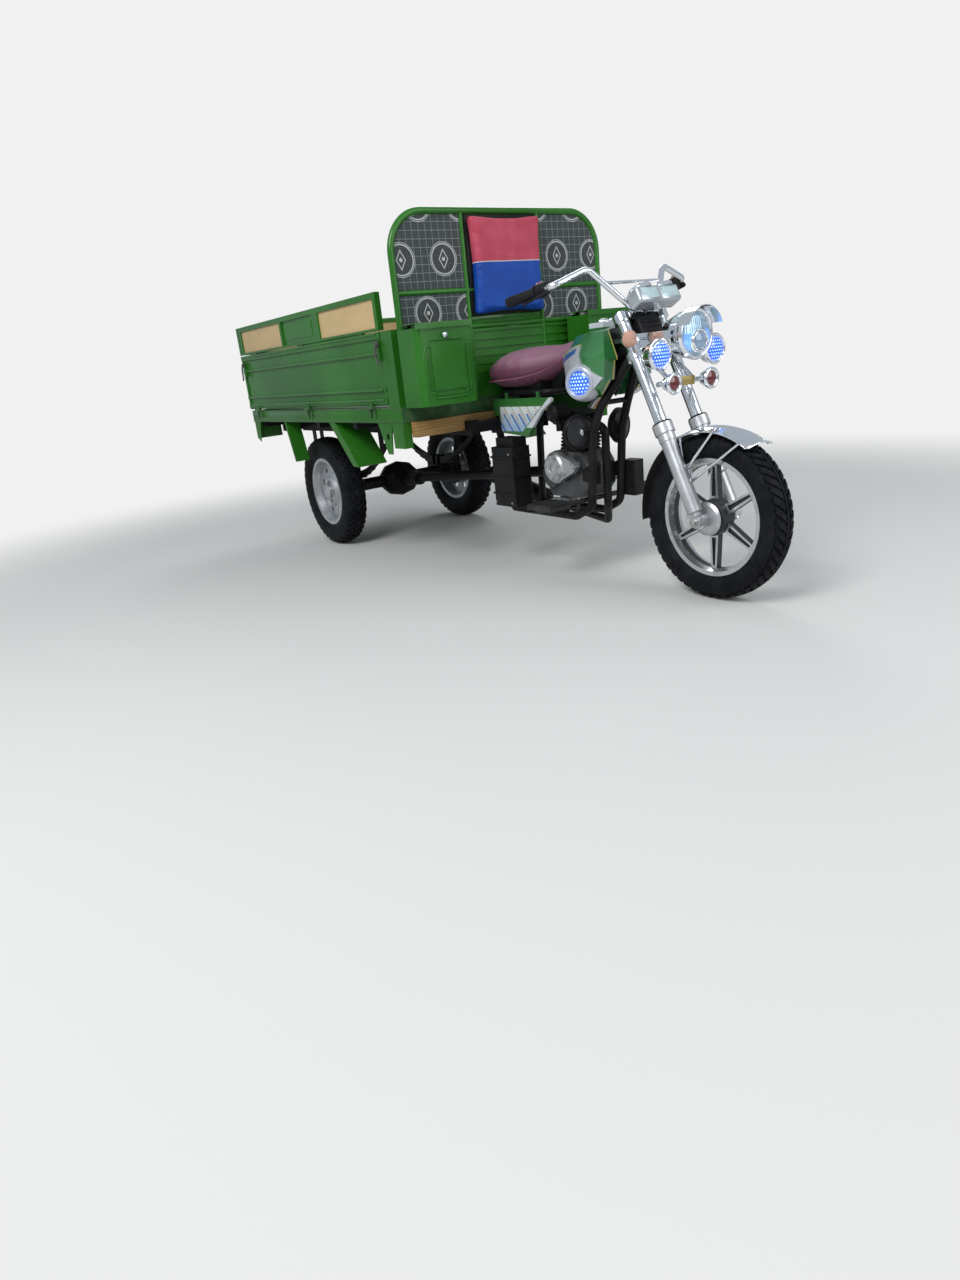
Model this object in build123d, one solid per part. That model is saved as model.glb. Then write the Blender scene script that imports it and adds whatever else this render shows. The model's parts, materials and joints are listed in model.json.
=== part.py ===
"""Cargo motor tricycle: motorcycle front end, single saddle, and a drop-side cargo box on a leaf-sprung axle.

All sizes are in millimetres. While the pieces are made, X runs forward from the rear axle, Y to the left and
Z up from the ground. At the end everything moves back so that the origin is on the ground in mid-length.
"""
from build123d import *
import os
from math import radians, sin, cos, tan

# Wheels and stance
wheelbase = 2375
drawn_wheelbase = 2375
front_tyre_r = 302
front_tyre_width = 108
front_rim_r = 215
front_rim_width = 72
front_spokes = 6
front_spoke_depth = 26
front_hub_r = 66
front_hub_half = 44
rear_tyre_r = 300
rear_tyre_width = 128
rear_rim_r = 187
rear_rim_width = 96
wheel_inset = 169
rear_vents = 8
rear_hub_half = 40
brake_drum_r = 92
fender_gap = 22
fender_half = 62

# Fits and gaps
seat_gap = 0.3
running_gap = 0.05
swing_gap = 6

# Steering head and fork
rake = 26
fork_offset = 60
fork_spacing = 190
lower_clamp_z = 880
upper_clamp_z = 1010
clamp_thick = 26
stem_r = 15
head_tube_r = 27
front_axle_r = 7.5
axle_lug_half = 17
slider_r = 28
slider_top_z = 640
shroud_r = 23
bar_r = 11
bar_points = [(1745, 385, 1110), (1940, 330, 1143), (1963, 192, 1190), (2050, 60, 1042)]

# Cargo box
box_half = 595
box_back = -666
box_front = wheelbase - 1273
box_length = box_front - box_back
wall_thick = 28
rib_rise = 6
deck_bottom_z = 700
deck_top_z = 766
floor_thick = 4
floor_rise = 2
deck_edge_z = deck_top_z - floor_rise
panel_top_z = 1075
rail_top_z = 1231
hinge_r = 8
hinge_pin_r = 4
hinge_half = 30
knuckle_half = 12
side_hinge_y = box_half + hinge_r + 1
tail_hinge_x = box_back - hinge_r - 1
hinge_z = 768
side_hinges_x = [box_back + share * box_length for share in (0.083, 0.507, 0.908)]
deck_ribs_x = [box_back + (0.083 + 0.165 * i) * box_length for i in range(6)]
tail_hinges_y = (-400, 0, 400)
tail_lamp_y = box_half - 235
tail_lamp_half = 60
gate_bottom_z = deck_top_z + swing_gap + 2
panel_ribs = [
    # middle z, height
    (panel_top_z - 14, 28),
    (991, 14),
    (841, 14),
    (793, 22),
]
rail_low_z = 1081
rail_tube = 24
rail_depth = 26
gate_back_x = box_back + wall_thick + swing_gap
gate_front_x = box_front - swing_gap
side_posts = [(gate_back_x, gate_back_x + 30), (4, 26), (430, 500), (gate_front_x - 26, gate_front_x)]
side_windows = [(gate_back_x + 30, 4), (26, 430), (500, gate_front_x - 26)]
tail_half = box_half
tail_posts = [(-tail_half, -tail_half + 30), (-200, -170), (170, 200), (tail_half - 30, tail_half)]
tail_windows = [(-tail_half + 30, -200), (-170, 170), (200, tail_half - 30)]

# Headboard, toolboxes and foot plank
headboard_x = box_front + 107
arch_tube_r = 14
arch_half = box_half - 42
arch_top_z = 1514
arch_bend_r = 160
low_rail_z = 1062
low_bay_share = 0.323
mid_rail_z = low_rail_z + low_bay_share * (arch_top_z - low_rail_z)
upright_r = 11
headboard_uprights = (-202, 202)
toolbox_back_x = headboard_x + arch_tube_r + 14
toolbox_front_x = headboard_x + 176
toolbox_inner_y = 325
toolbox_bottom_z = 762
toolbox_top_z = 1066
sheet = 3
lid_hinge_z = toolbox_top_z + 5
lid_hinge_r = 5
lid_pin_r = 2.5
plank_half = box_half - 43

# Ladder frame and rear axle: each is set in from the one outboard of it
rear_track = 2 * (box_half - wheel_inset)
rail_inset = 141
rail_y = rear_track / 2 - rail_inset
rail_size = (44, 64)
rail_front_x = headboard_x + 81
rail_top = deck_bottom_z - 24
rear_axle_z = rear_tyre_r
half_shaft_r = 15
spring_eyes_x = (-430, 430)
spring_eye_z = 540
spring_seat_z = rear_axle_z + 44
spring_pin_r = 8
leaf_thick = 7
leaf_count = 6
leaf_width = 34
damper_y = rail_y + 50
damper_top = (205, 644)
damper_foot = (120, 330)

# Motorcycle frame and foot rests
cradle_y = 84
cradle_z = 252
cradle_back_x = 1262
down_tube = [(2000, 16, 886), (1868, 72, 700), (1824, 81, 600), (1798, 81, 300), (1700, cradle_y, cradle_z),
             (cradle_back_x, cradle_y, cradle_z)]
frame_tube_r = 17
cross_tube_r = 11
seat_rail_y = 120
seat_rail_z = 770
seat_rail_r = 12
foot_bar_x = 1716
foot_bar_z = 316
foot_bar_half = 306
foot_rest_y = 258
foot_rest_half = 52

# Engine
case_half = 78
case_bottom_z = 330
clutch_centre = (1622, 460)
fin_count = 9
fin_pitch = 15

# Seat and tank
tank_top_z = 1000
tank_tunnel = 68
tank_sections = [
    # x, then the right half's outline as (y, z) points: top, edge, crease, tucked side, bottom
    (1668, [(0, 962), (40, 955), (70, 905), (58, 830), (30, 800)]),
    (1740, [(0, 980), (72, 968), (120, 906), (110, 790), (62, 752)]),
    (1830, [(0, 992), (92, 977), (141, 900), (129, 772), (72, 738)]),
    (1900, [(0, 992), (90, 979), (141, 888), (129, 770), (72, 738)]),
    (1975, [(0, 986), (78, 973), (122, 880), (112, 790), (60, 752)]),
]
tank_profile = [(1672, 735), (1672, 862), (1704, 896), (1738, 924), (1756, 966), (1790, tank_top_z),
                (1912, tank_top_z), (1962, 880), (1948, 800), (1890, 735)]
panel_outline = [(1690, 736), (1684, 800), (1686, 872), (1716, 908), (1764, 930), (1826, 940), (1838, 902),
                 (1850, 866), (1950, 812), (1892, 764), (1826, 737)]
pod_centre = (1836, 116, 800)
pod_turn = 17.5
seat_sections = [
    # x, half width, bottom, top
    (1230, 120, 814, 862),
    (1244, 168, 800, 896),
    (1280, 192, 793, 926),
    (1340, 200, 791, 944),
    (1410, 196, 791, 950),
    (1480, 174, 794, 950),
    (1545, 130, 811, 946),
    (1605, 88, 842, 946),
    (1665, 60, 884, 956),
    (1708, 38, 920, 966),
    (1730, 16, 946, 971),
]


def box(x0, x1, y0, y1, z0, z1):
    """A block between two corners."""
    return Pos((x0 + x1) / 2, (y0 + y1) / 2, (z0 + z1) / 2) * Box(x1 - x0, y1 - y0, z1 - z0)


def rod(start, end, radius):
    """A round bar between two points."""
    start, end = Vector(*start), Vector(*end)
    lined_up = Plane(origin=start, z_dir=end - start)
    return lined_up * Cylinder(radius, (end - start).length, align=(Align.CENTER, Align.CENTER, Align.MIN))


def across(radius, y0, y1, x, z):
    """A round bar along Y."""
    return rod((x, y0, z), (x, y1, z), radius)


def tube(points, bend_r, radius):
    """A round tube along straight runs with rounded bends."""
    path = FilletPolyline(*points, radius=bend_r)
    section = Plane(origin=path @ 0, z_dir=path % 0) * Circle(radius)
    return sweep(section, path=path)


def group(*shapes):
    """Separate solids kept in one sub-part."""
    return Compound([solid for shape in shapes for solid in shape.solids()])


def other_side(shape):
    """The same shape on the other side of the vehicle."""
    return mirror(shape, about=Plane.XZ)


def cut_clear(shape, *neighbours):
    """The shape with its neighbours' space taken out, so that it seats on them."""
    solids = []
    for solid in shape.solids():
        for neighbour in neighbours:
            solid = solid - neighbour
        left = solid if isinstance(solid, list) else solid.solids()
        solids += [piece for piece in left if piece.volume > 1]
    return Compound(solids)


def both_sides(shape):
    """A left and a right one, as separate solids."""
    return group(shape, other_side(shape))


def fused(*shapes):
    """All the shapes joined into one body."""
    whole = shapes[0]
    for shape in shapes[1:]:
        whole = whole + shape
    return whole


def side_plate(outline, y0, y1):
    """A plate cut to an outline of (x, z) points, from y0 to y1."""
    face = make_face(Polyline(*[(x, y0, z) for x, z in outline], close=True))
    return extrude(face, amount=y1 - y0, dir=(0, 1, 0))


def front_plate(outline, x0, x1):
    """A plate cut to an outline of (y, z) points, from x0 to x1."""
    face = make_face(Polyline(*[(x0, y, z) for y, z in outline], close=True))
    return extrude(face, amount=x1 - x0, dir=(1, 0, 0))


# Steering geometry: the head's axis and the fork legs are parallel, raked back
up_axis = Vector(-sin(radians(rake)), 0, cos(radians(rake)))
fore = Vector(cos(radians(rake)), 0, sin(radians(rake)))
front_hub = Vector(drawn_wheelbase, 0, front_tyre_r)

# The motorcycle end is drawn for drawn_wheelbase, and moves ahead or back with the wheelbase
stretch = wheelbase - drawn_wheelbase
ahead = Pos(stretch, 0, 0)


def on_leg(z, y=0.0):
    """The point of a fork leg's centre line at a height."""
    return Vector(drawn_wheelbase - (z - front_tyre_r) * tan(radians(rake)), y, z)


def on_head(z_leg):
    """The point of the steering axis square to the fork leg at a height."""
    return on_leg(z_leg) - fore * fork_offset


def head_plane(z_leg):
    """A plane square to the steering axis, X forward and Y left."""
    return Plane(origin=on_head(z_leg), x_dir=fore, z_dir=up_axis)


# Wheels
def tyre(radius, width, rim_r, rim_width):
    """A tyre about Y: rounded crown, shoulders and bulged side walls."""
    bead = rim_r + seat_gap
    side = bead + 0.5 * (radius - bead)
    shoulder = radius - 0.1 * width
    crown = 0.4 * width
    outline = [
        Line((bead, -rim_width / 2), (bead, rim_width / 2)),
        ThreePointArc((bead, rim_width / 2), (side, width / 2), (shoulder, crown)),
        ThreePointArc((shoulder, crown), (radius, 0), (shoulder, -crown)),
        ThreePointArc((shoulder, -crown), (side, -width / 2), (bead, -rim_width / 2)),
    ]
    return revolve(make_face(Curve() + outline), Axis.Y)


def rim_barrel(radius, width, well):
    """A rolled rim about Y, with a lip on each edge and a drop centre."""
    lip, wall = 5, 7
    half = width / 2
    outline = [(radius, half), (radius, half - lip), (radius - 0.5 * well, half - 2 * lip),
               (radius - well, 0.3 * half), (radius - well, -0.3 * half),
               (radius - 0.5 * well, 2 * lip - half), (radius, lip - half), (radius, -half),
               (radius - 0.5 * well - wall, -half + 1), (radius - well - wall, -0.3 * half),
               (radius - well - wall, 0.3 * half), (radius - 0.5 * well - wall, half - 1)]
    return revolve(make_face(Polyline(*outline, close=True)), Axis.Y)


def front_wheel():
    """A cast wheel: six tapered spokes with hollowed webs between hub and rim."""
    barrel = rim_barrel(front_rim_r, front_rim_width, 18)
    hub_outline = [(0, -front_hub_half), (38, -front_hub_half), (front_hub_r, -32), (front_hub_r, 20),
                   (40, 30), (34, front_hub_half), (0, front_hub_half)]
    hub = revolve(make_face(Polyline(*hub_outline, close=True)), Axis.Y)
    rim_inner = front_rim_r - 20
    spoke = side_plate([(front_hub_r - 8, -20), (rim_inner, -12), (rim_inner, 12), (front_hub_r - 8, 20)],
                       -front_spoke_depth / 2, front_spoke_depth / 2)
    hollow = side_plate([(front_hub_r + 10, -9), (rim_inner - 14, -5), (rim_inner - 14, 5),
                         (front_hub_r + 10, 9)], front_spoke_depth / 2 - 7, front_spoke_depth / 2)
    spoke -= hollow
    spoke -= other_side(hollow)
    wheel = fused(barrel, hub)
    for i in range(front_spokes):
        wheel += Rot(0, 30 + i * 360 / front_spokes, 0) * spoke
    wheel -= across(front_axle_r + running_gap, -front_hub_half - 1, front_hub_half + 1, 0, 0)
    return Pos(front_hub) * wheel


def rear_wheel():
    """A pressed steel wheel on its brake drum, on the left, outer side towards +Y."""
    barrel = rim_barrel(rear_rim_r, rear_rim_width, 22)
    inner_r = rear_rim_r - 24
    dish_outline = [(40, 30), (70, 30), (88, 12), (inner_r, 6), (inner_r, 0), (86, 6), (68, 24), (40, 24)]
    dish = revolve(make_face(Polyline(*dish_outline, close=True)), Axis.Y)
    for i in range(rear_vents):
        vent = Rot(0, (i + 0.5) * 360 / rear_vents, 0) * Pos(118, 0, 0) * Rot(90, 0, 0) * Cylinder(15, 60)
        dish -= vent
    hub_outline = [(0, -rear_hub_half), (brake_drum_r, -rear_hub_half), (brake_drum_r, -4), (66, 4),
                   (64, 24.5), (38, 24.5), (38, 46), (28, 52), (0, 52)]
    hub = revolve(make_face(Polyline(*hub_outline, close=True)), Axis.Y)
    wheel = fused(barrel, dish, hub)
    wheel -= across(half_shaft_r + running_gap, -rear_hub_half - 1, 40, 0, 0)
    return Pos(0, rear_track / 2, rear_axle_z) * wheel


# Steering assembly
def clamp_yoke(z_leg, thick):
    """A fork yoke: a bar across the two legs with a boss for the stem."""
    half = fork_spacing / 2
    shape = Pos(fork_offset, 0) * Rectangle(34, fork_spacing)
    shape += Pos(fork_offset / 2, 0) * Rectangle(fork_offset, 52)
    shape += Circle(28)
    for side in (-half, half):
        shape += Pos(fork_offset, side) * Circle(shroud_r + 10)
    return head_plane(z_leg) * Pos(0, 0, -thick / 2) * extrude(shape, amount=thick)


def fork():
    """Both yokes, the stem through the head tube, and the upper fork tubes in their shrouds."""
    stem = rod(on_head(lower_clamp_z), on_head(upper_clamp_z) + up_axis * 16, stem_r)
    nut = head_plane(upper_clamp_z) * Pos(0, 0, clamp_thick / 2) * extrude(RegularPolygon(17, 6), amount=12)
    lower = clamp_yoke(lower_clamp_z, clamp_thick)
    upper = clamp_yoke(upper_clamp_z, clamp_thick)
    whole = fused(lower, upper, stem, nut)
    for side in (-fork_spacing / 2, fork_spacing / 2):
        whole += rod(on_leg(slider_top_z - 28, side), on_leg(upper_clamp_z, side) + up_axis * 22, shroud_r)
    return whole


def fork_leg():
    """One lower leg, on the left: slider, wide dust cap, and the lug that grips the axle."""
    side = fork_spacing / 2
    steps = [(front_tyre_r, 350, 16), (334, slider_top_z - 58, slider_r),
             (slider_top_z - 60, slider_top_z - 34, slider_r + 3),
             (slider_top_z - 34, slider_top_z - 1, slider_r + 9)]
    leg = rod(on_leg(slider_top_z - 80, side), on_leg(slider_top_z - 70, side), slider_r)
    for z0, z1, radius in steps:
        leg += rod(on_leg(z0, side), on_leg(z1, side), radius)
    leg += across(24, side - axle_lug_half, side + axle_lug_half, drawn_wheelbase, front_tyre_r)
    leg += rod(on_leg(front_tyre_r, side), on_leg(front_tyre_r, side) - up_axis * 30, 15)
    leg -= across(front_axle_r + seat_gap, side - 40, side + 40, drawn_wheelbase, front_tyre_r)
    leg -= rod(on_leg(slider_top_z - 30, side), on_leg(slider_top_z + 20, side), shroud_r + seat_gap)
    return leg


def front_axle():
    """The axle through the hub, its nuts and spacers, and the fixed brake plate on the right."""
    x, z = drawn_wheelbase, front_tyre_r
    inner = fork_spacing / 2 - axle_lug_half - seat_gap
    outer = fork_spacing / 2 + axle_lug_half + seat_gap
    axle = across(front_axle_r, -outer - 14, outer + 14, x, z)
    plate_outline = [(0, -front_hub_half - 2), (60, -front_hub_half - 2), (62, -front_hub_half - 6),
                     (52, -front_hub_half - 14), (24, -front_hub_half - 18), (20, -inner), (0, -inner)]
    plate = Pos(x, 0, z) * revolve(make_face(Polyline(*plate_outline, close=True)), Axis.Y)
    spacer = across(14, front_hub_half + 2, inner, x, z)
    anchor = box(x - 92, x - 40, -front_hub_half - 14, -front_hub_half - 6, z - 8, z + 8)
    nuts = fused(across(13, outer, outer + 10, x, z), across(13, -outer - 10, -outer, x, z))
    return fused(axle, plate, spacer, nuts, anchor)


def fender_section(drop, half, thick):
    """A crowned strip over the tyre, as an upper and a lower arc."""
    r = front_tyre_r + fender_gap
    outer = ThreePointArc((r - drop, -half), (r, 0), (r - drop, half))
    inner = ThreePointArc((r - drop, half), (r - thick, 0), (r - drop, -half))
    return make_face(Curve() + [outer, inner])


def front_fender():
    """A short bright guard over the front tyre, with a flared lip and its stays."""
    section = fender_section(16, fender_half, 3)
    start, end = 116, 58
    guard = Pos(front_hub) * Rot(0, -start, 0) * revolve(section, Axis.Y, start - end)
    for side in (-1, 1):
        reach = fender_half - 4
        for angle in (112, 84, 62):
            r = front_tyre_r + fender_gap - 15
            top = front_hub + Vector(r * cos(radians(angle)), side * reach, r * sin(radians(angle)))
            foot = on_leg(470 if angle > 80 else 430, side * (fork_spacing / 2 - slider_r + 3))
            guard += rod(tuple(top), tuple(foot), 5)
    for side in (-1, 1):
        guard += box(on_leg(450).X - 16, on_leg(450).X + 16, side * 66 - 5, side * 66 + 5, 425, 480)
    return guard


def mudflap():
    """The black flap that carries the guard's line down behind the tyre."""
    section = fender_section(10, fender_half - 4, 4)
    start, end = 186, 116.06
    return Pos(front_hub) * Rot(0, -start, 0) * revolve(section, Axis.Y, start - end)


def handlebar():
    """A high chrome bar with a cross brace, in two risers on the upper yoke."""
    left = bar_points
    right = [(x, -y, z) for x, y, z in reversed(bar_points)]
    bar = tube(left + right, 34, bar_r)
    brace = rod((1995, 145, 1137), (1995, -145, 1137), 6)
    bar += brace
    base = on_leg(upper_clamp_z) + up_axis * (clamp_thick / 2)
    for side in (-45, 45):
        bar += rod((base.X, side, base.Z), (2050, side, 1042), 14)
        bar += rod((2050, side - 14, 1042), (2050, side + 14, 1042), 20)
    return bar


def hand_controls():
    """Rubber grips, switch housings and the two levers."""
    outer, inner = Vector(*bar_points[0]), Vector(*bar_points[1])
    along = (inner - outer).normalized()
    grip = rod(tuple(outer - along * 6), tuple(outer + along * 128), 17)
    flange = rod(tuple(outer + along * 122), tuple(outer + along * 128), 24)
    housing = rod(tuple(outer + along * 132), tuple(outer + along * 172), 22)
    core = rod(tuple(outer + along * 2), tuple(outer + along * 200), bar_r + seat_gap)
    perch = outer + along * 150 + Vector(24, 0, -4)
    tip = outer + Vector(62, -14, -16)
    lever = tube([tuple(perch), tuple(perch + Vector(28, 16, -6)), tuple(tip)], 10, 5)
    body = fused(housing, lever)
    return both_sides(group(fused(grip, flange) - core, body - core))


def headlamp():
    """A round bowl with a bright rim and a hooded visor over the glass."""
    x, z, r = 2290, 935, 85
    bowl_outline = [(0, -140), (26, -136), (58, -108), (76, -60), (80, -26), (80, -8), (0, -8)]
    bowl = revolve(make_face(Polyline(*bowl_outline, close=True)), Axis.Y)
    ring_outline = [(r - 13, -14), (r, -12), (r + 2, -4), (r - 4, 4), (r - 13, 2)]
    ring = revolve(make_face(Polyline(*ring_outline, close=True)), Axis.Y)
    visor_outline = [(r - 1, -8), (r + 3, -8), (r + 5, 44), (r + 2, 44)]
    visor = Rot(0, 200, 0) * revolve(make_face(Polyline(*visor_outline, close=True)), Axis.Y, 140)
    glass_outline = [(0, -7.7), (r - 13.3, -7.7), (r - 13.3, 0), (40, 8), (0, 11)]
    glass = revolve(make_face(Polyline(*glass_outline, close=True)), Axis.Y)
    lamp = Rot(0, 0, -90) * group(fused(bowl, ring, visor), glass)
    ears = [box(2086, 2250, y - 3, y + 3, 905, 955) for y in (-87, 87)]
    bolts = [across(8, y0, y1, 2236, z) for y0, y1 in ((-84 + seat_gap, -60), (60, 84 - seat_gap))]
    whole = Pos(x, 0, z) * lamp
    shell, front = whole.solids().sort_by(lambda solid: -solid.volume)
    return group(fused(shell, *bolts), front, *ears)


def aux_lamps():
    """Two blue spot lamps on short stalks and two red fog lamps on a cross bar."""
    spot_outline = [(0, -70), (20, -66), (44, -34), (52, -4), (55, 2), (46, 6), (30, 10), (0, 12)]
    spot = Rot(0, 0, -90) * revolve(make_face(Polyline(*spot_outline, close=True)), Axis.Y)
    fog_outline = [(0, -40), (22, -36), (34, -10), (38, 0), (30, 4), (0, 6)]
    fog = Rot(0, 0, -90) * revolve(make_face(Polyline(*fog_outline, close=True)), Axis.Y)
    foot = on_leg(lower_clamp_z) + fore * 20
    shapes = []
    for side in (-1, 1):
        pod = Pos(2250, side * 140, 877) * spot
        stalk = rod((foot.X, side * 80, foot.Z - 10), (2200, side * 138, 874), 9)
        shapes.append(fused(pod, stalk))
    bar = rod((2228, -130, 779), (2228, 130, 779), 9)
    for side in (-1, 1):
        bar += Pos(2272, side * 96, 779) * fog
        bar += rod((2228, side * 60, 779), (foot.X, side * 60, foot.Z - 8), 8)
    shapes.append(bar)
    return group(*shapes)


def turn_signals():
    """Two small lamps on stalks from the upper fork tubes."""
    shapes = []
    lens_outline = [(0, -26), (20, -20), (30, 0), (28, 14), (16, 22), (0, 24)]
    lens = Rot(0, 0, -90) * revolve(make_face(Polyline(*lens_outline, close=True)), Axis.Y)
    for side in (-1, 1):
        pod = Pos(2120, side * 156, 940) * lens
        stalk = rod((2066, side * (fork_spacing / 2 + shroud_r - 2), 935), (2112, side * 150, 939), 7)
        shapes.append(fused(pod, stalk))
    return group(*shapes)


def instruments():
    """Twin dial pods in one housing over the headlamp."""
    shell = Pos(2098, 0, 1072) * Rot(0, -28, 0) * Box(64, 210, 62)
    shell = fillet(shell.edges(), 12)
    dials = [Pos(2098, y, 1072) * Rot(0, -28, 0) * Pos(0, 0, 29) * Cylinder(42, 10) for y in (-54, 54)]
    base = on_leg(upper_clamp_z) + up_axis * (clamp_thick / 2)
    bracket = rod((base.X + 24, 0, base.Z + 8), (2098, 0, 1060), 9)
    return fused(shell, *dials, bracket)


# Motorcycle frame and engine
def main_frame():
    """Head tube, backbone, twin down tubes into the cradle, seat rails and foot rest bar."""
    foot, top = on_head(lower_clamp_z), on_head(upper_clamp_z)
    bore = rod(tuple(foot), tuple(top + up_axis * 60), stem_r + running_gap)
    inset = up_axis * (clamp_thick / 2 + 2)
    head = rod(tuple(foot + inset), tuple(top - inset), head_tube_r)
    whole = head - bore
    whole += tube([(2010, 0, 905), (1900, 0, 890), (1660, 0, 780), (1300, 0, 760), (1235, 0, 660)], 60, 22) - bore
    whole += side_plate([(1982, 880), (1890, 880), (1880, 735)], -5, 5)
    for side in (-1, 1):
        whole += tube([(x, side * y, z) for x, y, z in down_tube], 45, frame_tube_r) - bore
        whole += tube([(1640, side * 20, seat_rail_z), (1600, side * seat_rail_y, seat_rail_z),
                       (1300, side * seat_rail_y, seat_rail_z), (1235, side * seat_rail_y, 660)], 40, seat_rail_r)
        whole += rod((cradle_back_x, side * cradle_y, cradle_z), (1236, side * seat_rail_y, 640), frame_tube_r)
    for x in (1500, 1290):
        whole += rod((x, -cradle_y, cradle_z), (x, cradle_y, cradle_z), cross_tube_r)
    whole += rod((1878, -66, 716), (1878, 66, 716), 10)
    for side in (-1, 1):
        y0, y1 = sorted((side * (case_half + seat_gap), side * (case_half + 7)))
        whole += side_plate([(1752, 406), (1752, 452), (1806, 476), (1806, 396)], y0, y1)
        y0, y1 = sorted((side * (case_half - 8), side * (case_half + 10)))
        whole += box(1600, 1640, y0, y1, 256, case_bottom_z - seat_gap)
    rubber = tank_tunnel / 2 - seat_gap
    whole += rod((1840, -rubber, 862), (1840, rubber, 862), 12)
    return whole


def crankcase():
    """The engine's lower case and gearbox, with round side bulges."""
    outline = [(1500, 400), (1540, case_bottom_z), (1730, case_bottom_z), (1776, 380), (1776, 470), (1740, 520),
               (1560, 520), (1500, 480)]
    case = side_plate(outline, -case_half, case_half)
    case = fillet(case.edges().filter_by(Axis.Y), 18)
    case += across(70, -104, 100, *clutch_centre)
    case += across(52, -96, 92, 1560, 420)
    case += across(36, -104, 80, 1712, 466)
    return case


def engine_covers():
    """Bright clutch cover on the right and ignition cover on the left."""
    right = across(66, -136, -104 - seat_gap, *clutch_centre)
    right = chamfer(right.edges().filter_by(GeomType.CIRCLE).sort_by(Axis.Y)[0], 14)
    lobe = side_plate([(1640, 522), (1742, 488), (1760, 466), (1744, 446), (1656, 406)], -128, -104 - seat_gap)
    lobe = fillet(lobe.edges().filter_by(Axis.Y).sort_by(Axis.X)[-3:], 10)
    left = across(58, 100 + seat_gap, 126, *clutch_centre)
    left = chamfer(left.edges().filter_by(GeomType.CIRCLE).sort_by(Axis.Y)[-1], 12)
    return group(fused(right, lobe), left)


def cylinder():
    """A finned barrel and head that lean forward, with the rocker cover on top."""
    fins = []
    core = extrude(RectangleRounded(84, 84, 20), amount=fin_pitch * fin_count + 34)
    for i in range(fin_count):
        size = 132 if i < 6 else 120
        fins.append(Pos(0, 0, 8 + i * fin_pitch) * extrude(RectangleRounded(size, size, 22), amount=5))
    cover = Pos(0, 0, fin_pitch * fin_count + 12) * extrude(RectangleRounded(104, 96, 18), amount=32)
    barrel = fused(core, *fins, cover)
    return Pos(1648, 0, 508) * Rot(0, 12, 0) * barrel


def intake():
    """Carburettor behind the head and a round air filter on the right."""
    throat = fused(rod((1640, -20, 640), (1580, -40, 650), 18), rod((1580, -40, 650), (1655, -80, 684), 18))
    filter_body = across(36, -142, -74, 1655, 684)
    bowl = rod((1580, -40, 602), (1580, -40, 650), 20)
    return fused(throat, filter_body, bowl)


def exhaust():
    """A header pipe down from the head and back to a silencer under the left side."""
    header = tube([(1720, 0, 646), (1810, 0, 606), (1808, 0, 300), (1740, 60, 214), (1500, 130, 214),
                   (1180, 160, 250)], 40, 17)
    silencer = rod((1190, 160, 250), (700, 205, 330), 46)
    tail = rod((710, 205, 328), (610, 214, 345), 14)
    return fused(header, silencer, tail)


def horn_discs():
    """Two round black mesh horns in front of the cylinder, splayed outwards, on brackets."""
    shapes = []
    outline = [(0, -22), (58, -18), (72, -4), (72, 6), (60, 14), (20, 18), (0, 18)]
    for side in (-1, 1):
        disc = revolve(make_face(Polyline(*outline, close=True)), Axis.Y)
        disc = Pos(1774, side * 110, 608) * Rot(0, 0, -90 + side * 15) * disc
        arm = rod((1774, side * 96, 612), (1822, side * 84, 612), 6)
        shapes.append(fused(disc, arm))
    return group(*shapes)


def tank_body(grow):
    """The tank's creased outside, with its sides moved out by some millimetres."""
    faces = []
    for x, half in tank_sections:
        near = [(y + grow if y else 0, z) for y, z in half]
        far = [(-y, z) for y, z in reversed(near[1:])]
        faces.append(make_face(Polyline(*[(x, y, z) for y, z in near + far], close=True)))
    return loft(faces) & side_plate(tank_profile, -200, 200)


def fuel_tank():
    """A creased teardrop tank over the backbone, with a tunnel below and a filler box on top."""
    tank = tank_body(0)
    tank -= box(1600, 1985, -tank_tunnel / 2, tank_tunnel / 2, 700, 928)
    tank -= box(1905, 2000, -54, 54, 700, 945)
    tank -= box(1890, 2000, -66, 66, 700, 872)
    tank -= box(1866, 2000, -84, 84, 700, 802)
    tank += box(1790, 1870, -40, 40, 980, tank_top_z + 12)
    return tank


def tank_panels():
    """Bright teardrop side panels over the tank's flanks, each with its round lamp pod."""
    plate = (tank_body(9) - tank_body(seat_gap)) & side_plate(panel_outline, 36, 200)
    pod_outline = [(0, 0), (74, 0), (70, 26), (60, 50), (55, 52), (51, 44), (0, 44)]
    pod = revolve(make_face(Polyline(*[(r, h, 0) for r, h in pod_outline], close=True)), Axis.Y)
    return both_sides(fused(plate, Pos(*pod_centre) * Rot(0, 0, -pod_turn) * pod))


def seat():
    """The saddle cushion: broad and full at the back, with a narrow nose that rises over the tank."""
    faces = []
    for x, half, low, high in seat_sections:
        plane = Plane(origin=(x, 0, (low + high) / 2), x_dir=(0, 1, 0), z_dir=(1, 0, 0))
        faces.append(plane * RectangleRounded(2 * half, high - low, 0.46 * min(2 * half, high - low)))
    return loft(faces)


def side_covers():
    """Green side panels and the dark pan under the seat."""
    outline = [(1256, 750), (1256, 678), (1294, 678), (1310, 604), (1492, 590), (1540, 640), (1600, 700),
               (1690, 750)]
    cover = side_plate(outline, 138, 152)
    cover = fillet(cover.edges().filter_by(Axis.Y), 10)
    for x in (1340, 1560):
        cover += box(x - 8, x + 8, seat_rail_y + seat_rail_r + seat_gap, 140, 690, seat_rail_z + 4)
    return both_sides(cover)


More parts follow.
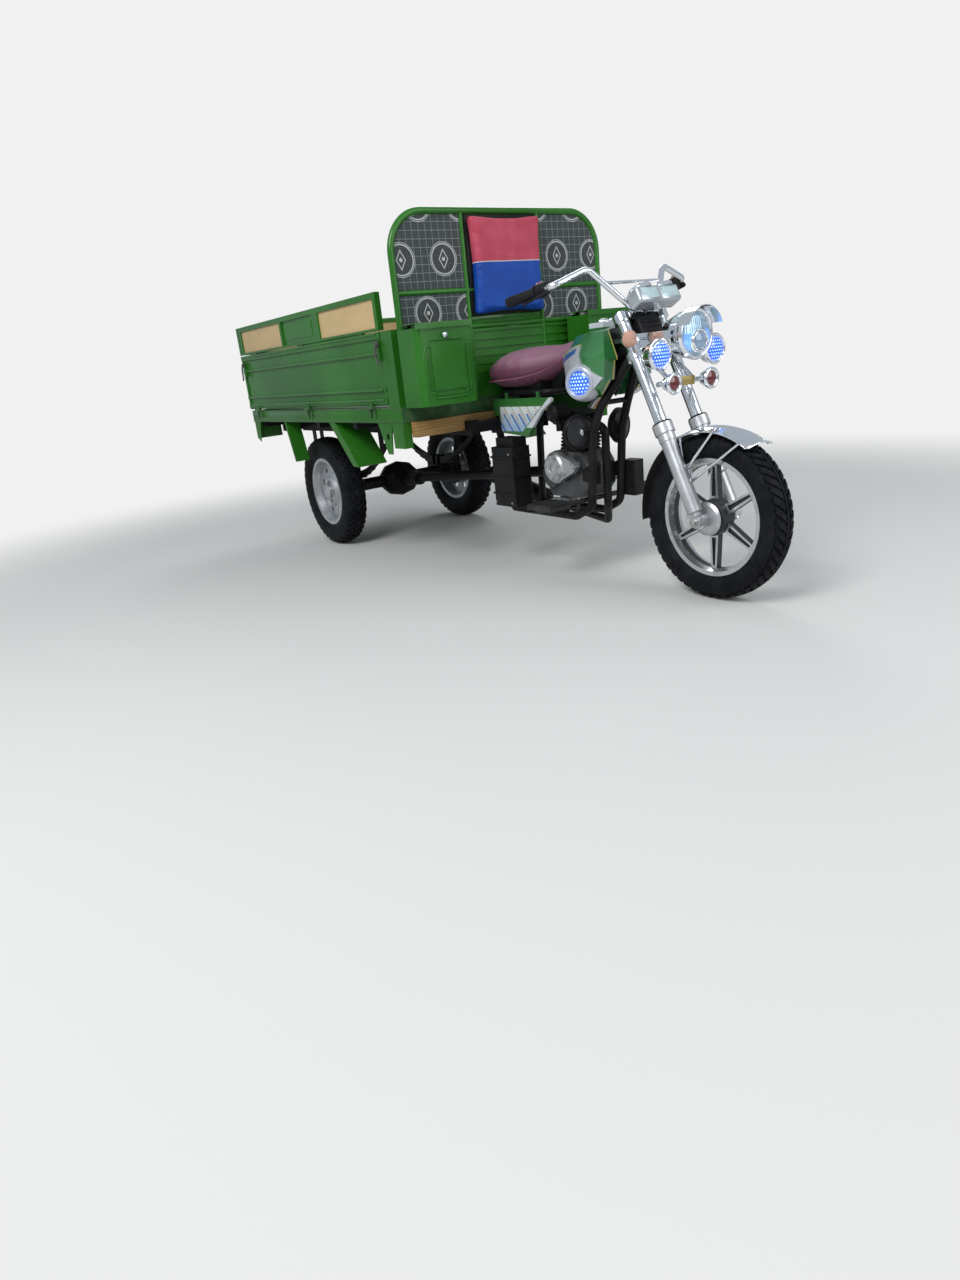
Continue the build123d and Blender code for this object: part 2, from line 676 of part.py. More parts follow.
def seat_base():
    """The dark pan that carries the saddle on the seat rails."""
    rest = seat_rail_z + seat_rail_r + seat_gap
    pan = box(1262, 1540, -104, 104, rest, 812)
    pan += side_plate([(1530, rest), (1530, 820), (1600, 856), (1650, 890), (1656, 850), (1600, rest)], -44, 44)
    return cut_clear(pan, Pos(0, 0, -seat_gap) * seat())


def battery_box():
    """A ribbed black box on the right of the frame with its lid and tray, and the coil box on the left."""
    x0, x1 = 1282, 1436
    case = box(x0, x1, -208, -104, 288, 548)
    case = fillet(case.edges().filter_by(Axis.Z), 8)
    for z in (340, 420, 500):
        case += box(x0 - 4, x1 + 5, -212, -104, z, z + 8)
    case += box(x0 + 12, x1 - 16, -184, -110, 546, 586)
    case += box(x0 + 30, x1 - 30, -106, -96, 244, 300)
    coil_box = box(1796, 1872, 96, 152, 322, 468)
    coil_box = fillet(coil_box.edges().filter_by(Axis.Z), 6)
    return group(case, coil_box)


def foot_controls():
    """Rubber foot rests on their bar, the brake pedal and the gear lever."""
    bar = rod((foot_bar_x, -foot_bar_half, foot_bar_z), (foot_bar_x, foot_bar_half, foot_bar_z), 11)
    for side in (-1, 1):
        bar += box(1650, 1804, side * foot_rest_y - foot_rest_half, side * foot_rest_y + foot_rest_half,
                   foot_bar_z + 2, foot_bar_z + 18)
        for y in range(foot_rest_y - 46, foot_rest_y + 54, 18):
            bar += box(1654, 1800, side * y - 5, side * y + 5, foot_bar_z + 17, foot_bar_z + 25)
    for y in (-cradle_y, cradle_y):
        bar += rod((foot_bar_x, y, foot_bar_z), (foot_bar_x, y, cradle_z + 10), 10)
    brake = tube([(1600, -176, 300), (1680, -186, 344), (1790, -196, 352)], 30, 7)
    brake += box(1782, 1822, -226, -176, 352, 360)
    brake += rod((1600, -176, 300), (foot_bar_x, -150, foot_bar_z), 8)
    gear = tube([(1560, 92 + seat_gap, 385), (1560, 176, 377), (1760, 184, 366)], 16, 6)
    gear += across(8, 176, 220, 1760, 366)
    return group(fused(bar, brake), gear)


# Ladder frame, springs and rear axle
def ladder_frame():
    """Two box rails under the deck, cross members, spring hangers and the front out-riggers."""
    wide, high = rail_size
    x0, x1 = box_back + 60, rail_front_x
    shapes = []
    for side in (-1, 1):
        y0, y1 = side * rail_y - wide / 2, side * rail_y + wide / 2
        shapes.append(box(x0, x1, y0, y1, rail_top - high, rail_top))
    for x in (x0 + 20, -180, 300, x1 - 530, x1 - 190, x1 - 22):
        shapes.append(box(x - 18, x + 18, -rail_y, rail_y, rail_top - high + 8, rail_top - 8))
    for x in (x0 + 60, -200, 240, x1 - 610, x1 - 210):
        shapes.append(box(x - 20, x + 20, -box_half + 30, box_half - 30, rail_top - 8, deck_bottom_z - seat_gap))
    for side in (-1, 1):
        for x in spring_eyes_x:
            shapes.append(box(x - 22, x + 22, side * rail_y - 26, side * rail_y + 26,
                              spring_eye_z - 20, rail_top - high + 6))
        for y in (-12, 12):
            shapes.append(box(x1 - 90, x1 - 10, side * 120 + y - 4, side * 120 + y + 4, 600, rail_top - high + 10))
    frame = fused(*shapes)
    for side in (-1, 1):
        for x in spring_eyes_x:
            frame -= box(x - 40, x + 40, side * rail_y - 20, side * rail_y + 20, 0, rail_top - high)
            frame += across(spring_pin_r, side * rail_y - 26, side * rail_y + 26, x, spring_eye_z)
        y0, y1 = sorted((side * rail_y, side * (damper_y + 20)))
        frame += across(spring_pin_r, y0, y1, *damper_top)
    return frame


def leaf_pack():
    """One leaf spring, on the left: arched leaves that get shorter downwards, eyes and U bolts."""
    reach = spring_eyes_x[1] - 10
    rise = spring_eye_z - spring_seat_z - leaf_thick * leaf_count
    shapes = []
    for i in range(leaf_count):
        share = 1 - 0.14 * i
        run = reach * share
        lift = rise * share ** 2
        z = spring_seat_z + leaf_thick * (leaf_count - 1 - i)
        low = ThreePointArc((-run, 0, z + lift), (0, 0, z), (run, 0, z + lift))
        high = ThreePointArc((run, 0, z + lift + leaf_thick), (0, 0, z + leaf_thick),
                             (-run, 0, z + lift + leaf_thick))
        ends = [Line((run, 0, z + lift), (run, 0, z + lift + leaf_thick)),
                Line((-run, 0, z + lift + leaf_thick), (-run, 0, z + lift))]
        face = make_face(Curve() + [low, high] + ends)
        shapes.append(extrude(face, amount=leaf_width / 2, dir=(0, 1, 0), both=True))
    pack = fused(*shapes)
    for x in spring_eyes_x:
        pack += across(15, -leaf_width / 2, leaf_width / 2, x, spring_eye_z)
    for x in (-26, 26):
        pack += box(x - 6, x + 6, -leaf_width / 2 - 10, leaf_width / 2 + 10, spring_seat_z - 4,
                    spring_seat_z + leaf_thick * leaf_count + 12)
    for x in spring_eyes_x:
        pack -= across(spring_pin_r + running_gap, -leaf_width, leaf_width, x, spring_eye_z)
    return Pos(0, rail_y, 0) * pack


def rear_suspension():
    """Both leaf springs, and a damper on each side with a bright cap."""
    foot = Vector(damper_foot[0], damper_y, damper_foot[1])
    top = Vector(damper_top[0], damper_y, damper_top[1])
    along = top - foot
    damper = rod(tuple(foot), tuple(foot + along * 0.6), 20)
    damper += rod(tuple(foot + along * 0.5), tuple(foot + along * 0.8), 26)
    damper += rod(tuple(foot + along * 0.7), tuple(top), 9)
    for x, z in (damper_top, damper_foot):
        damper += across(17, damper_y - 12, damper_y + 12, x, z)
        damper -= across(spring_pin_r + running_gap, damper_y - 20, damper_y + 20, x, z)
    return group(both_sides(leaf_pack()), both_sides(damper))


def rear_axle():
    """Axle tubes, round differential, spring seats, brake plates and the stub shafts in the wheels."""
    hub_face = rear_track / 2 - rear_hub_half
    z = rear_axle_z
    shapes = [across(34, -hub_face + 12, hub_face - 12, 0, z)]
    diff_outline = [(0, -120), (44, -112), (84, -70), (100, 0), (84, 70), (44, 112), (0, 120)]
    shapes.append(Pos(0, 0, z) * revolve(make_face(Polyline(*diff_outline, close=True)), Axis.Y))
    shapes.append(rod((60, 0, z), (190, 0, z + 12), 42))
    for side in (-1, 1):
        shapes.append(box(-60, 60, side * rail_y - 30, side * rail_y + 30, z + 20, spring_seat_z - 4))
        shapes.append(across(brake_drum_r + 4, side * (hub_face - 14), side * (hub_face - 2), 0, z))
        shapes.append(across(half_shaft_r, side * (hub_face - 20), side * (hub_face + 76), 0, z))
        y0, y1 = sorted((side * (damper_y - 42), side * (damper_y - 28)))
        shapes.append(box(20, damper_foot[0] + 16, y0, y1, z - 10, damper_foot[1] + 16))
        shapes.append(across(spring_pin_r, side * (damper_y - 34), side * (damper_y + 18), *damper_foot))
    return fused(*shapes)


def drive_shaft():
    """The propeller shaft from the gearbox to the axle, with a yoke at each end."""
    front, back = Vector(1508 + stretch, 0, 424), Vector(185, 0, rear_axle_z + 12)
    along = (front - back).normalized()
    shaft = rod(tuple(back), tuple(front), 24)
    shaft += rod(tuple(back), tuple(back + along * 70), 40)
    shaft += rod(tuple(front - along * 72), tuple(front), 38)
    return shaft


# Cargo box
def cargo_deck():
    """The steel floor on a channel-edged frame, its fixed hinge halves, and the front sill."""
    x0, x1 = box_back + 11, box_front + 97
    y = box_half - 5
    lip = 20
    shapes = [box(x0, x1, -y, y, deck_top_z - floor_thick, deck_edge_z),
              box(box_back + wall_thick + swing_gap, box_front - swing_gap, wall_thick + swing_gap - box_half,
                  box_half - wall_thick - swing_gap, deck_edge_z - 1, deck_top_z)]
    for side in (-1, 1):
        shapes.append(box(x0, x1, side * (y - 40) - 2, side * (y - 40) + 2, deck_bottom_z, deck_top_z - 2))
        for z0, z1 in ((deck_bottom_z, deck_bottom_z + 10), (deck_top_z - 12, deck_edge_z)):
            inner, outer = sorted((side * (y - 42), side * y))
            shapes.append(box(x0, x1, inner, outer, z0, z1))
        for x in deck_ribs_x:
            inner, outer = sorted((side * (y - 42), side * (y - 6)))
            shapes.append(box(x - 6, x + 6, inner, outer, deck_bottom_z, deck_edge_z))
    for x in (x0 + 2, x1 - 2):
        shapes.append(box(x - 2, x + 2, -y, y, deck_bottom_z, deck_edge_z))
        shapes.append(box(min(x, x + lip * (1 if x < 0 else -1)), max(x, x + lip * (1 if x < 0 else -1)),
                          -y, y, deck_bottom_z, deck_bottom_z + 8))
    for x in (-300, 100, 500, box_front - 202):
        shapes.append(box(x - 15, x + 15, -y + 38, y - 38, deck_bottom_z, deck_top_z - 2))
    deck = fused(*shapes)
    for x in side_hinges_x:
        for side in (-1, 1):
            deck += side_hinge_fixed(x, side)
    for y in tail_hinges_y:
        deck += tail_hinge_fixed(y)
    return deck


def x_bar(radius, x0, x1, y, z):
    """A round bar along X."""
    return rod((x0, y, z), (x1, y, z), radius)


def side_hinge_fixed(x, side):
    """The deck's half of a side hinge: two knuckles, their leaf and the pin."""
    y = side * side_hinge_y
    inner, outer = sorted((side * (box_half - 14), side * (box_half + 3)))
    half = x_bar(hinge_pin_r, x - hinge_half, x + hinge_half, y, hinge_z)
    for x0, x1 in ((x - hinge_half, x - knuckle_half - 1), (x + knuckle_half + 1, x + hinge_half)):
        half += x_bar(hinge_r, x0, x1, y, hinge_z)
        half += box(x0, x1, inner, outer, deck_top_z - 44, hinge_z)
    return half


def tail_hinge_fixed(y):
    """The deck's half of a tailgate hinge."""
    half = across(hinge_pin_r, y - hinge_half, y + hinge_half, tail_hinge_x, hinge_z)
    for y0, y1 in ((y - hinge_half, y - knuckle_half - 1), (y + knuckle_half + 1, y + hinge_half)):
        half += across(hinge_r, y0, y1, tail_hinge_x, hinge_z)
        half += box(box_back - 3, box_back + 20, y0, y1, deck_top_z - 44, hinge_z)
    return half


def ribbed_wall(z0, z1, back, face, rib):
    """A pressed wall's outline as (depth, height) points, with raised ribs down its outer side."""
    points = [(back, z0), (back, z1), (rib, z1)]
    for middle, height in panel_ribs:
        top = min(middle + height / 2, z1)
        if top < z1:
            points += [(face, top + 3), (rib, top)]
        points += [(rib, middle - height / 2), (face, middle - height / 2 - 3)]
    points.append((face, z0))
    return points


def rail_frame(x0, x1, posts, y_mid):
    """The upper rail: a long frame of square tube with posts between its bars."""
    half = rail_depth / 2
    bars = [box(x0, x1, y_mid - half, y_mid + half, rail_low_z, rail_low_z + 10),
            box(x0, x1, y_mid - half, y_mid + half, rail_top_z - rail_tube, rail_top_z)]
    for p0, p1 in posts:
        bars.append(box(p0, p1, y_mid - half, y_mid + half, rail_low_z, rail_top_z))
    return fused(*bars)


def side_gate():
    """The left drop side: ribbed panel, upper rail with a pressed centre plate, hinge halves, latches."""
    y_mid = box_half - rail_depth / 2 - 1
    wall = ribbed_wall(gate_bottom_z, panel_top_z, box_half - wall_thick, box_half - rib_rise, box_half)
    gate = Pos(gate_back_x, 0, 0) * front_plate(wall, 0, gate_front_x - gate_back_x)
    gate += rail_frame(gate_back_x, gate_front_x, side_posts, y_mid)
    for x in (-440, 230, box_front - 202):
        gate += box(x - 28, x + 28, y_mid - 8, y_mid + 8, panel_top_z - 4, rail_low_z + 4)
    x0, x1 = side_windows[1]
    gate += box(x0 - 2, x1 + 2, y_mid - 3, y_mid + 3, rail_low_z + 4, rail_top_z - 4)
    high = rail_top_z - rail_low_z
    gate += box(x0 + 26, x1 - 26, y_mid - 6, y_mid + 6, rail_low_z + 0.22 * high, rail_top_z - 0.3 * high)
    for x in side_hinges_x:
        gate += x_bar(hinge_r, x - knuckle_half, x + knuckle_half, side_hinge_y, hinge_z)
        gate += box(x - knuckle_half, x + knuckle_half, box_half - 12, box_half + 4, hinge_z, hinge_z + 34)
        gate -= x_bar(hinge_pin_r + running_gap, x - hinge_half, x + hinge_half, side_hinge_y, hinge_z)
    for x in (gate_back_x + 14, gate_front_x - 14):
        gate += box(x - 7, x + 7, box_half - 4, box_half + 8, 960, 1040)
    return gate


def side_insets():
    """The tan boards in the left rail's two windows."""
    y_mid = box_half - rail_depth / 2 - 1
    z0 = rail_low_z + 10 + seat_gap
    z1 = rail_top_z - rail_tube - seat_gap
    boards = []
    for x0, x1 in (side_windows[0], side_windows[2]):
        boards.append(box(x0 + seat_gap, x1 - seat_gap, y_mid - 5, y_mid + 5, z0, z1))
    return group(*boards)


def tailgate():
    """The rear gate, made as the sides are, with its hinge halves."""
    x_mid = box_back + rail_depth / 2 + 1
    wall = ribbed_wall(gate_bottom_z, panel_top_z, box_back + wall_thick, box_back + rib_rise, box_back)
    gate = side_plate(wall, -tail_half, tail_half)
    half = rail_depth / 2
    bars = [box(x_mid - half, x_mid + half, -tail_half, tail_half, rail_low_z, rail_low_z + 10),
            box(x_mid - half, x_mid + half, -tail_half, tail_half, rail_top_z - rail_tube, rail_top_z)]
    for y0, y1 in tail_posts:
        bars.append(box(x_mid - half, x_mid + half, y0, y1, rail_low_z, rail_top_z))
    for y in (-420, 0, 420):
        bars.append(box(x_mid - 8, x_mid + 8, y - 28, y + 28, panel_top_z - 4, rail_low_z + 4))
    y0, y1 = tail_windows[1]
    bars.append(box(x_mid - 3, x_mid + 3, y0 - 2, y1 + 2, rail_low_z + 4, rail_top_z - 4))
    gate = fused(gate, *bars)
    for y in tail_hinges_y:
        gate += across(hinge_r, y - knuckle_half, y + knuckle_half, tail_hinge_x, hinge_z)
        gate += box(box_back - 4, box_back + 12, y - knuckle_half, y + knuckle_half, hinge_z, hinge_z + 34)
        gate -= across(hinge_pin_r + running_gap, y - hinge_half, y + hinge_half, tail_hinge_x, hinge_z)
    return gate


def tail_insets():
    """The tan boards in the rear gate's outer windows."""
    x_mid = box_back + rail_depth / 2 + 1
    z0 = rail_low_z + 10 + seat_gap
    z1 = rail_top_z - rail_tube - seat_gap
    boards = []
    for y0, y1 in (tail_windows[0], tail_windows[2]):
        boards.append(box(x_mid - 5, x_mid + 5, y0 + seat_gap, y1 - seat_gap, z0, z1))
    return group(*boards)


def corner_posts():
    """The fixed front corners of the box, each a folded post that runs down past the deck."""
    x0, x1 = box_front, headboard_x - arch_tube_r - seat_gap
    y0, y1 = box_half - 45, box_half - 3
    post = box(x0, x1, y0, y1, deck_edge_z + seat_gap, panel_top_z)
    post -= box(x0 + 4, x1 - 4, y0 - 1, y1 - 4, deck_top_z, panel_top_z - 4)
    foot = box(x0, x1, y0, y1, 592, deck_bottom_z - seat_gap)
    foot -= box(x0 + 4, x1 - 4, y0 - 1, y1 - 4, 580, deck_bottom_z - 5)
    return both_sides(group(post, foot))


def mudguards():
    """Green guards under the deck's edge: slanted flaps before and behind each wheel, and the skirt."""
    y0, y1 = 330, box_half - 8
    top = deck_bottom_z - seat_gap
    rear = side_plate([(-172, top), (-100, 482), (-86, 482), (-150, top)], y1 - 80, y1)
    front = side_plate([(473, top), (686, 487), (698, 492), (500, top)], y0 + 100, y1)
    skirt = side_plate([(480, top), (690, 490), (640, 490), (430, top)], y1 - 4, y1)
    corner = side_plate([(box_back + 14, top), (box_back + 14, 610), (box_back + 60, 581), (-560, top)],
                        y1 - 4, y1)
    corner += box(box_back + 14, box_back + 18, y1 - 160, y1, 600, top)
    x = box_front
    gusset = side_plate([(x - 142, top), (x - 76, 563), (x - 39, 563), (x - 12, top)], y1 - 5, y1)
    gusset -= across(14, y1 - 10, y1 + 1, x - 62, 640)
    return both_sides(group(fused(front, skirt), rear, corner, gusset))


def headboard_frame():
    """The tall tube hoop at the front of the box, its uprights and cross rails."""
    x, z0 = headboard_x, deck_edge_z + seat_gap
    points = [(x, -arch_half, z0), (x, -arch_half, arch_top_z), (x, arch_half, arch_top_z), (x, arch_half, z0)]
    frame = tube(points, arch_bend_r, arch_tube_r)
    for y in headboard_uprights:
        frame += rod((x, y, z0), (x, y, arch_top_z), upright_r)
    for z in (low_rail_z, mid_rail_z):
        frame += rod((x, -arch_half, z), (x, arch_half, z), upright_r)
    return frame


def headboard_panels():
    """Dark boards in the hoop's side bays, behind the tubes."""
    y0, y1 = headboard_uprights[1] + upright_r + seat_gap, arch_half - arch_tube_r - seat_gap
    x = headboard_x
    low = box(x - 4, x + 4, y0, y1, low_rail_z + upright_r + seat_gap, mid_rail_z - upright_r - seat_gap)
    high = box(x - 4, x + 4, y0, y1, mid_rail_z + upright_r + seat_gap, arch_top_z - arch_tube_r - seat_gap)
    corner = high.edges().filter_by(Axis.X).sort_by(Axis.Y)[-2:].sort_by(Axis.Z)[-1]
    high = fillet(corner, arch_bend_r - arch_tube_r)
    return both_sides(group(low, high))


def front_panel():
    """The ribbed lower front wall of the box between the toolboxes."""
    x = headboard_x
    z1 = low_rail_z - upright_r - seat_gap
    y1 = arch_half - arch_tube_r - seat_gap
    wall = box(x - 3, x + 3, -y1, y1, deck_edge_z + seat_gap, z1)
    for z in range(800, 1040, 34):
        wall += box(x + 2, x + 9, -y1 + 20, y1 - 20, z, z + 12)
    for y in headboard_uprights:
        wall -= rod((x, y, deck_bottom_z), (x, y, low_rail_z), upright_r + seat_gap)
    return wall


def back_pad():
    """The rider's padded back rest on the hoop."""
    back, front = headboard_x + upright_r + seat_gap, headboard_x + upright_r + 46
    pad = box(back, front, -186, 186, low_rail_z + 40, arch_top_z - 21)
    return fillet(pad.edges().group_by(Axis.X)[-1], 14)


def toolbox():
    """The left toolbox: a sheet box with a raised front pressing and a round lock, open at the top."""
    x0, x1 = toolbox_back_x, toolbox_front_x
    y0, y1 = toolbox_inner_y, box_half - 8
    z0, z1 = toolbox_bottom_z, toolbox_top_z
    outer = box(x0, x1, y0, y1, z0, z1)
    outer = chamfer(outer.edges().filter_by(Axis.Z).sort_by(Axis.X)[-2:].sort_by(Axis.Y)[-1], 24)
    inner = box(x0 + sheet, x1 - sheet, y0 + sheet, y1 - sheet, z0 + sheet, z1 + 1)
    inner = chamfer(inner.edges().filter_by(Axis.Z).sort_by(Axis.X)[-2:].sort_by(Axis.Y)[-1], 24)
    case = outer - inner
    case += box(x1 - 1, x1 + 5, y0 + 40, y1 - 60, z0 + 60, z1 - 60)
    case += x_bar(11, x1 - 1, x1 + 9, y0 + 130, z1 - 34)
    for z in (z0 + 30, z1 - 80):
        case += box(headboard_x + arch_tube_r + seat_gap, x0 + 1, arch_half - 12, arch_half + 12, z, z + 40)
    for y in (y0 + 50, y1 - 50):
        case += across(lid_hinge_r, y - 24, y - 9, x0 + 6, lid_hinge_z)
        case += across(lid_hinge_r, y + 9, y + 24, x0 + 6, lid_hinge_z)
        case += across(lid_pin_r, y - 24, y + 24, x0 + 6, lid_hinge_z)
        for side in (-1, 1):
            case += box(x0, x0 + 5, y + side * 16.5 - 7.5, y + side * 16.5 + 7.5, z1 - 12, lid_hinge_z)
    return case


def toolbox_lid():
    """The left lid: a turned-down cover that overhangs the box, hinged along its back."""
    x0, x1 = toolbox_back_x, toolbox_front_x
    y0, y1 = toolbox_inner_y, box_half - 8
    z = toolbox_top_z + 14
    lid = box(x0 + 14, x1 + 8, y0 - 6, y1 + 4, z, z + sheet)
    lid += box(x1 + 8 - sheet, x1 + 8, y0 - 6, y1 + 4, z - 20, z + 1)
    for y in (y0 + 50, y1 - 50):
        leaf = across(lid_hinge_r, y - 8, y + 8, x0 + 6, lid_hinge_z)
        leaf += box(x0 + 6, x0 + 20, y - 8, y + 8, z - 6, z + 1)
        lid += leaf
        lid -= across(lid_pin_r + running_gap, y - 26, y + 26, x0 + 6, lid_hinge_z)
    return lid


def plank():
    """The wooden foot board across the front of the deck."""
    x0 = headboard_x - arch_tube_r + 5
    return box(x0, x0 + 44, -plank_half, plank_half, 636, deck_bottom_z - seat_gap)


def tail_lamps():
    """A lamp pod under each rear corner of the deck, on its bracket."""
    y = tail_lamp_y
    pod = box(box_back + 20, box_back + 52, y - tail_lamp_half, y + tail_lamp_half, 620, 680)
    pod = fillet(pod.edges().filter_by(Axis.X), 10)
    bracket = box(box_back + 30, box_back + 36, y - 20, y + 20, 660, deck_bottom_z - seat_gap)
    return both_sides(fused(pod, bracket))


steering_fork, bar, left_leg = ahead * fork(), ahead * handlebar(), ahead * fork_leg()
case_block, tank = ahead * crankcase(), ahead * fuel_tank()
engine_top = cut_clear(ahead * cylinder(), case_block)
rails, axle_beam = ladder_frame(), rear_axle()
tube_frame = cut_clear(ahead * main_frame(), rails)
bar = cut_clear(bar, steering_fork)
front_rubber = ahead * Pos(front_hub) * tyre(front_tyre_r, front_tyre_width, front_rim_r, front_rim_width)
left_wheel = rear_wheel()
rear_rubber = tyre(rear_tyre_r, rear_tyre_width, rear_rim_r, rear_rim_width)
left_tyre = Pos(0, rear_track / 2, rear_axle_z) * rear_rubber
left_gate, left_boards, left_lid = side_gate(), side_insets(), toolbox_lid()

pieces = {
    "main_frame": tube_frame,
    "ladder_frame": rails,
    "crankcase": case_block,
    "engine_covers": ahead * engine_covers(),
    "cylinder": engine_top,
    "intake": cut_clear(ahead * intake(), engine_top),
    "exhaust": cut_clear(ahead * exhaust(), engine_top, tube_frame),
    "horn_discs": cut_clear(ahead * horn_discs(), tube_frame),
    "fuel_tank": tank,
    "tank_panels": cut_clear(ahead * tank_panels(), tank),
    "seat": ahead * seat(),
    "seat_base": cut_clear(ahead * seat_base(), tube_frame),
    "side_covers": ahead * side_covers(),
    "battery_box": cut_clear(ahead * battery_box(), tube_frame),
    "foot_controls": cut_clear(ahead * foot_controls(), tube_frame),
    "rear_axle": axle_beam,
    "rear_suspension": cut_clear(rear_suspension(), axle_beam),
    "drive_shaft": cut_clear(drive_shaft(), case_block, axle_beam),
    "cargo_deck": cargo_deck(),
    "corner_posts": corner_posts(),
    "mudguards": mudguards(),
    "headboard_frame": headboard_frame(),
    "headboard_panels": headboard_panels(),
    "front_panel": front_panel(),
    "back_pad": back_pad(),
    "toolboxes": both_sides(toolbox()),
    "plank": cut_clear(plank(), rails, tube_frame),
    "tail_lamps": tail_lamps(),
    "fork": steering_fork,
    "fork_legs": both_sides(left_leg),
    "front_axle": ahead * front_axle(),
    "front_fender": cut_clear(ahead * front_fender(), left_leg, other_side(left_leg)),
    "mudflap": ahead * mudflap(),
    "handlebar": bar,
    "hand_controls": cut_clear(ahead * hand_controls(), bar),
    "headlamp": cut_clear(ahead * headlamp(), steering_fork),
    "aux_lamps": cut_clear(ahead * aux_lamps(), steering_fork),
    "turn_signals": cut_clear(ahead * turn_signals(), steering_fork),
    "instruments": cut_clear(ahead * instruments(), steering_fork, bar),
    "front_tyre": front_rubber,
    "front_wheel": ahead * front_wheel(),
    "rear_tyre_left": left_tyre,
    "rear_tyre_right": other_side(left_tyre),
    "rear_wheel_left": left_wheel,
    "rear_wheel_right": other_side(left_wheel),
    "side_gate_left": left_gate,
    "side_gate_right": other_side(left_gate),
    "side_insets_left": left_boards,
    "side_insets_right": other_side(left_boards),
    "tailgate": tailgate(),
    "tail_insets": tail_insets(),
    "toolbox_lid_left": left_lid,
    "toolbox_lid_right": other_side(left_lid),
}

# The origin lies on the ground, halfway along the vehicle
mid_length = (wheelbase + front_tyre_r + tail_hinge_x - hinge_r) / 2
os.makedirs("parts", exist_ok=True)
for name, piece in pieces.items():
    export_step(Pos(-mid_length, 0, 0) * piece, f"parts/{name}.step")
print("middle of the length, forward of the rear axle:", mid_length)
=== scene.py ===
"""Looks of the cargo motor tricycle: finishes, soft goods, tread, lamps and small fittings over its frame."""

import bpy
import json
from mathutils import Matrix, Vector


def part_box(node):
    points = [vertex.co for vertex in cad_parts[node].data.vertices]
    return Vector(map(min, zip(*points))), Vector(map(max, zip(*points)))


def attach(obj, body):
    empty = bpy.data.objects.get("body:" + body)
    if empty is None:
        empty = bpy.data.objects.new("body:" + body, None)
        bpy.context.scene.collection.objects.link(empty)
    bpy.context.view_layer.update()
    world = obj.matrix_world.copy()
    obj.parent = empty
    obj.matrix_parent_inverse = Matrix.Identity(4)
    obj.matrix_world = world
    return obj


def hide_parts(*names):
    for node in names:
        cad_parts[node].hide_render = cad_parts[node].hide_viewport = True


bl_info = {
    "name": "Cargo Motor Tricycle",
    "version": (1, 0, 0),
    "blender": (4, 5, 0),
    "location": "View3D > Sidebar > Tricycle",
    "description": "Dresses the frame of a cargo motor tricycle and sets up its stage",
    "category": "Object",
}

import json
import math
import bmesh
import bpy
from mathutils import Matrix, Vector

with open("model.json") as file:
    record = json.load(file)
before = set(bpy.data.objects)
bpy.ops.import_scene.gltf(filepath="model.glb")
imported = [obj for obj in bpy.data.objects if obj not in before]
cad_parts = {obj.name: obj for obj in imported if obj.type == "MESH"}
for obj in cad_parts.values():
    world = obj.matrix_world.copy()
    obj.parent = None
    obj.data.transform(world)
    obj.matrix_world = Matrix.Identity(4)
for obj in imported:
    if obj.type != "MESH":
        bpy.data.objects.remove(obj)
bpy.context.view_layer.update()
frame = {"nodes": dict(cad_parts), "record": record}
nodes = frame["nodes"]

# Places on the vehicle are given in millimetres forward of the rear axle, to the left and above the ground
REAR_AXLE_X = sum(corner[0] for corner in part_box("rear_tyre_left")) / 2
MM = 0.001


def at(x, y, z):
    """A place in metres from millimetres forward of the rear axle, to the left and up."""
    return Vector((REAR_AXLE_X + x * MM, y * MM, z * MM))


def middle(node):
    """The centre of a node's box."""
    low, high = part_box(node)
    return (Vector(low) + Vector(high)) / 2


# Modelling by hand
def bare():
    """Object mode with nothing selected."""
    if bpy.context.object and bpy.context.object.mode != "OBJECT":
        bpy.ops.object.mode_set(mode="OBJECT")
    bpy.ops.object.select_all(action="DESELECT")


def hold(*objs):
    """Selects only these objects; the first is active."""
    bare()
    for obj in objs:
        obj.select_set(True)
    bpy.context.view_layer.objects.active = objs[0]
    return objs[0]


def open_mesh(obj, kind="FACE"):
    """Edit mode on one object with nothing selected."""
    hold(obj)
    bpy.ops.object.mode_set(mode="EDIT")
    bpy.ops.mesh.select_mode(type=kind)
    bpy.ops.mesh.select_all(action="DESELECT")
    return bmesh.from_edit_mesh(obj.data)


def pick(mesh, parts, test):
    """Selects those of a mesh's faces, edges or points that pass a test."""
    for part in parts:
        part.select_set(bool(test(part)))
    mesh.select_flush_mode()


def close_mesh(obj, weld=0.00005, smooth=35):
    """Welds, turns the faces outwards, and shades smooth up to an angle."""
    if obj.mode != "EDIT":
        open_mesh(obj)
    bpy.ops.mesh.select_all(action="SELECT")
    if weld:
        bpy.ops.mesh.remove_doubles(threshold=weld)
    bpy.ops.mesh.normals_make_consistent(inside=False)
    bpy.ops.object.mode_set(mode="OBJECT")
    if smooth:
        hold(obj)
        bpy.ops.object.shade_smooth_by_angle(angle=math.radians(smooth))
    return obj


def settle(obj):
    """Puts the object at the origin with its place in its mesh."""
    hold(obj)
    bpy.ops.object.transform_apply(location=True, rotation=True, scale=True)
    return obj


def apply_modifier(obj, kind, **values):
    """Adds a modifier, sets it and applies it."""
    hold(obj)
    modifier = obj.modifiers.new(kind.lower(), kind)
    for key, value in values.items():
        setattr(modifier, key, value)
    bpy.ops.object.modifier_apply(modifier=modifier.name)
    return obj


def copied(obj, matrix):
    """A copy with its own mesh, moved by a matrix."""
    twin = obj.copy()
    twin.data = obj.data.copy()
    bpy.context.collection.objects.link(twin)
    twin.data.transform(matrix)
    if matrix.determinant() < 0:
        twin.data.flip_normals()
    return twin


def joined(name, objs):
    """Several settled objects made one."""
    hold(*objs)
    if len(objs) > 1:
        bpy.ops.object.join()
    obj = bpy.context.object
    obj.name = name
    obj.data.name = name
    return obj


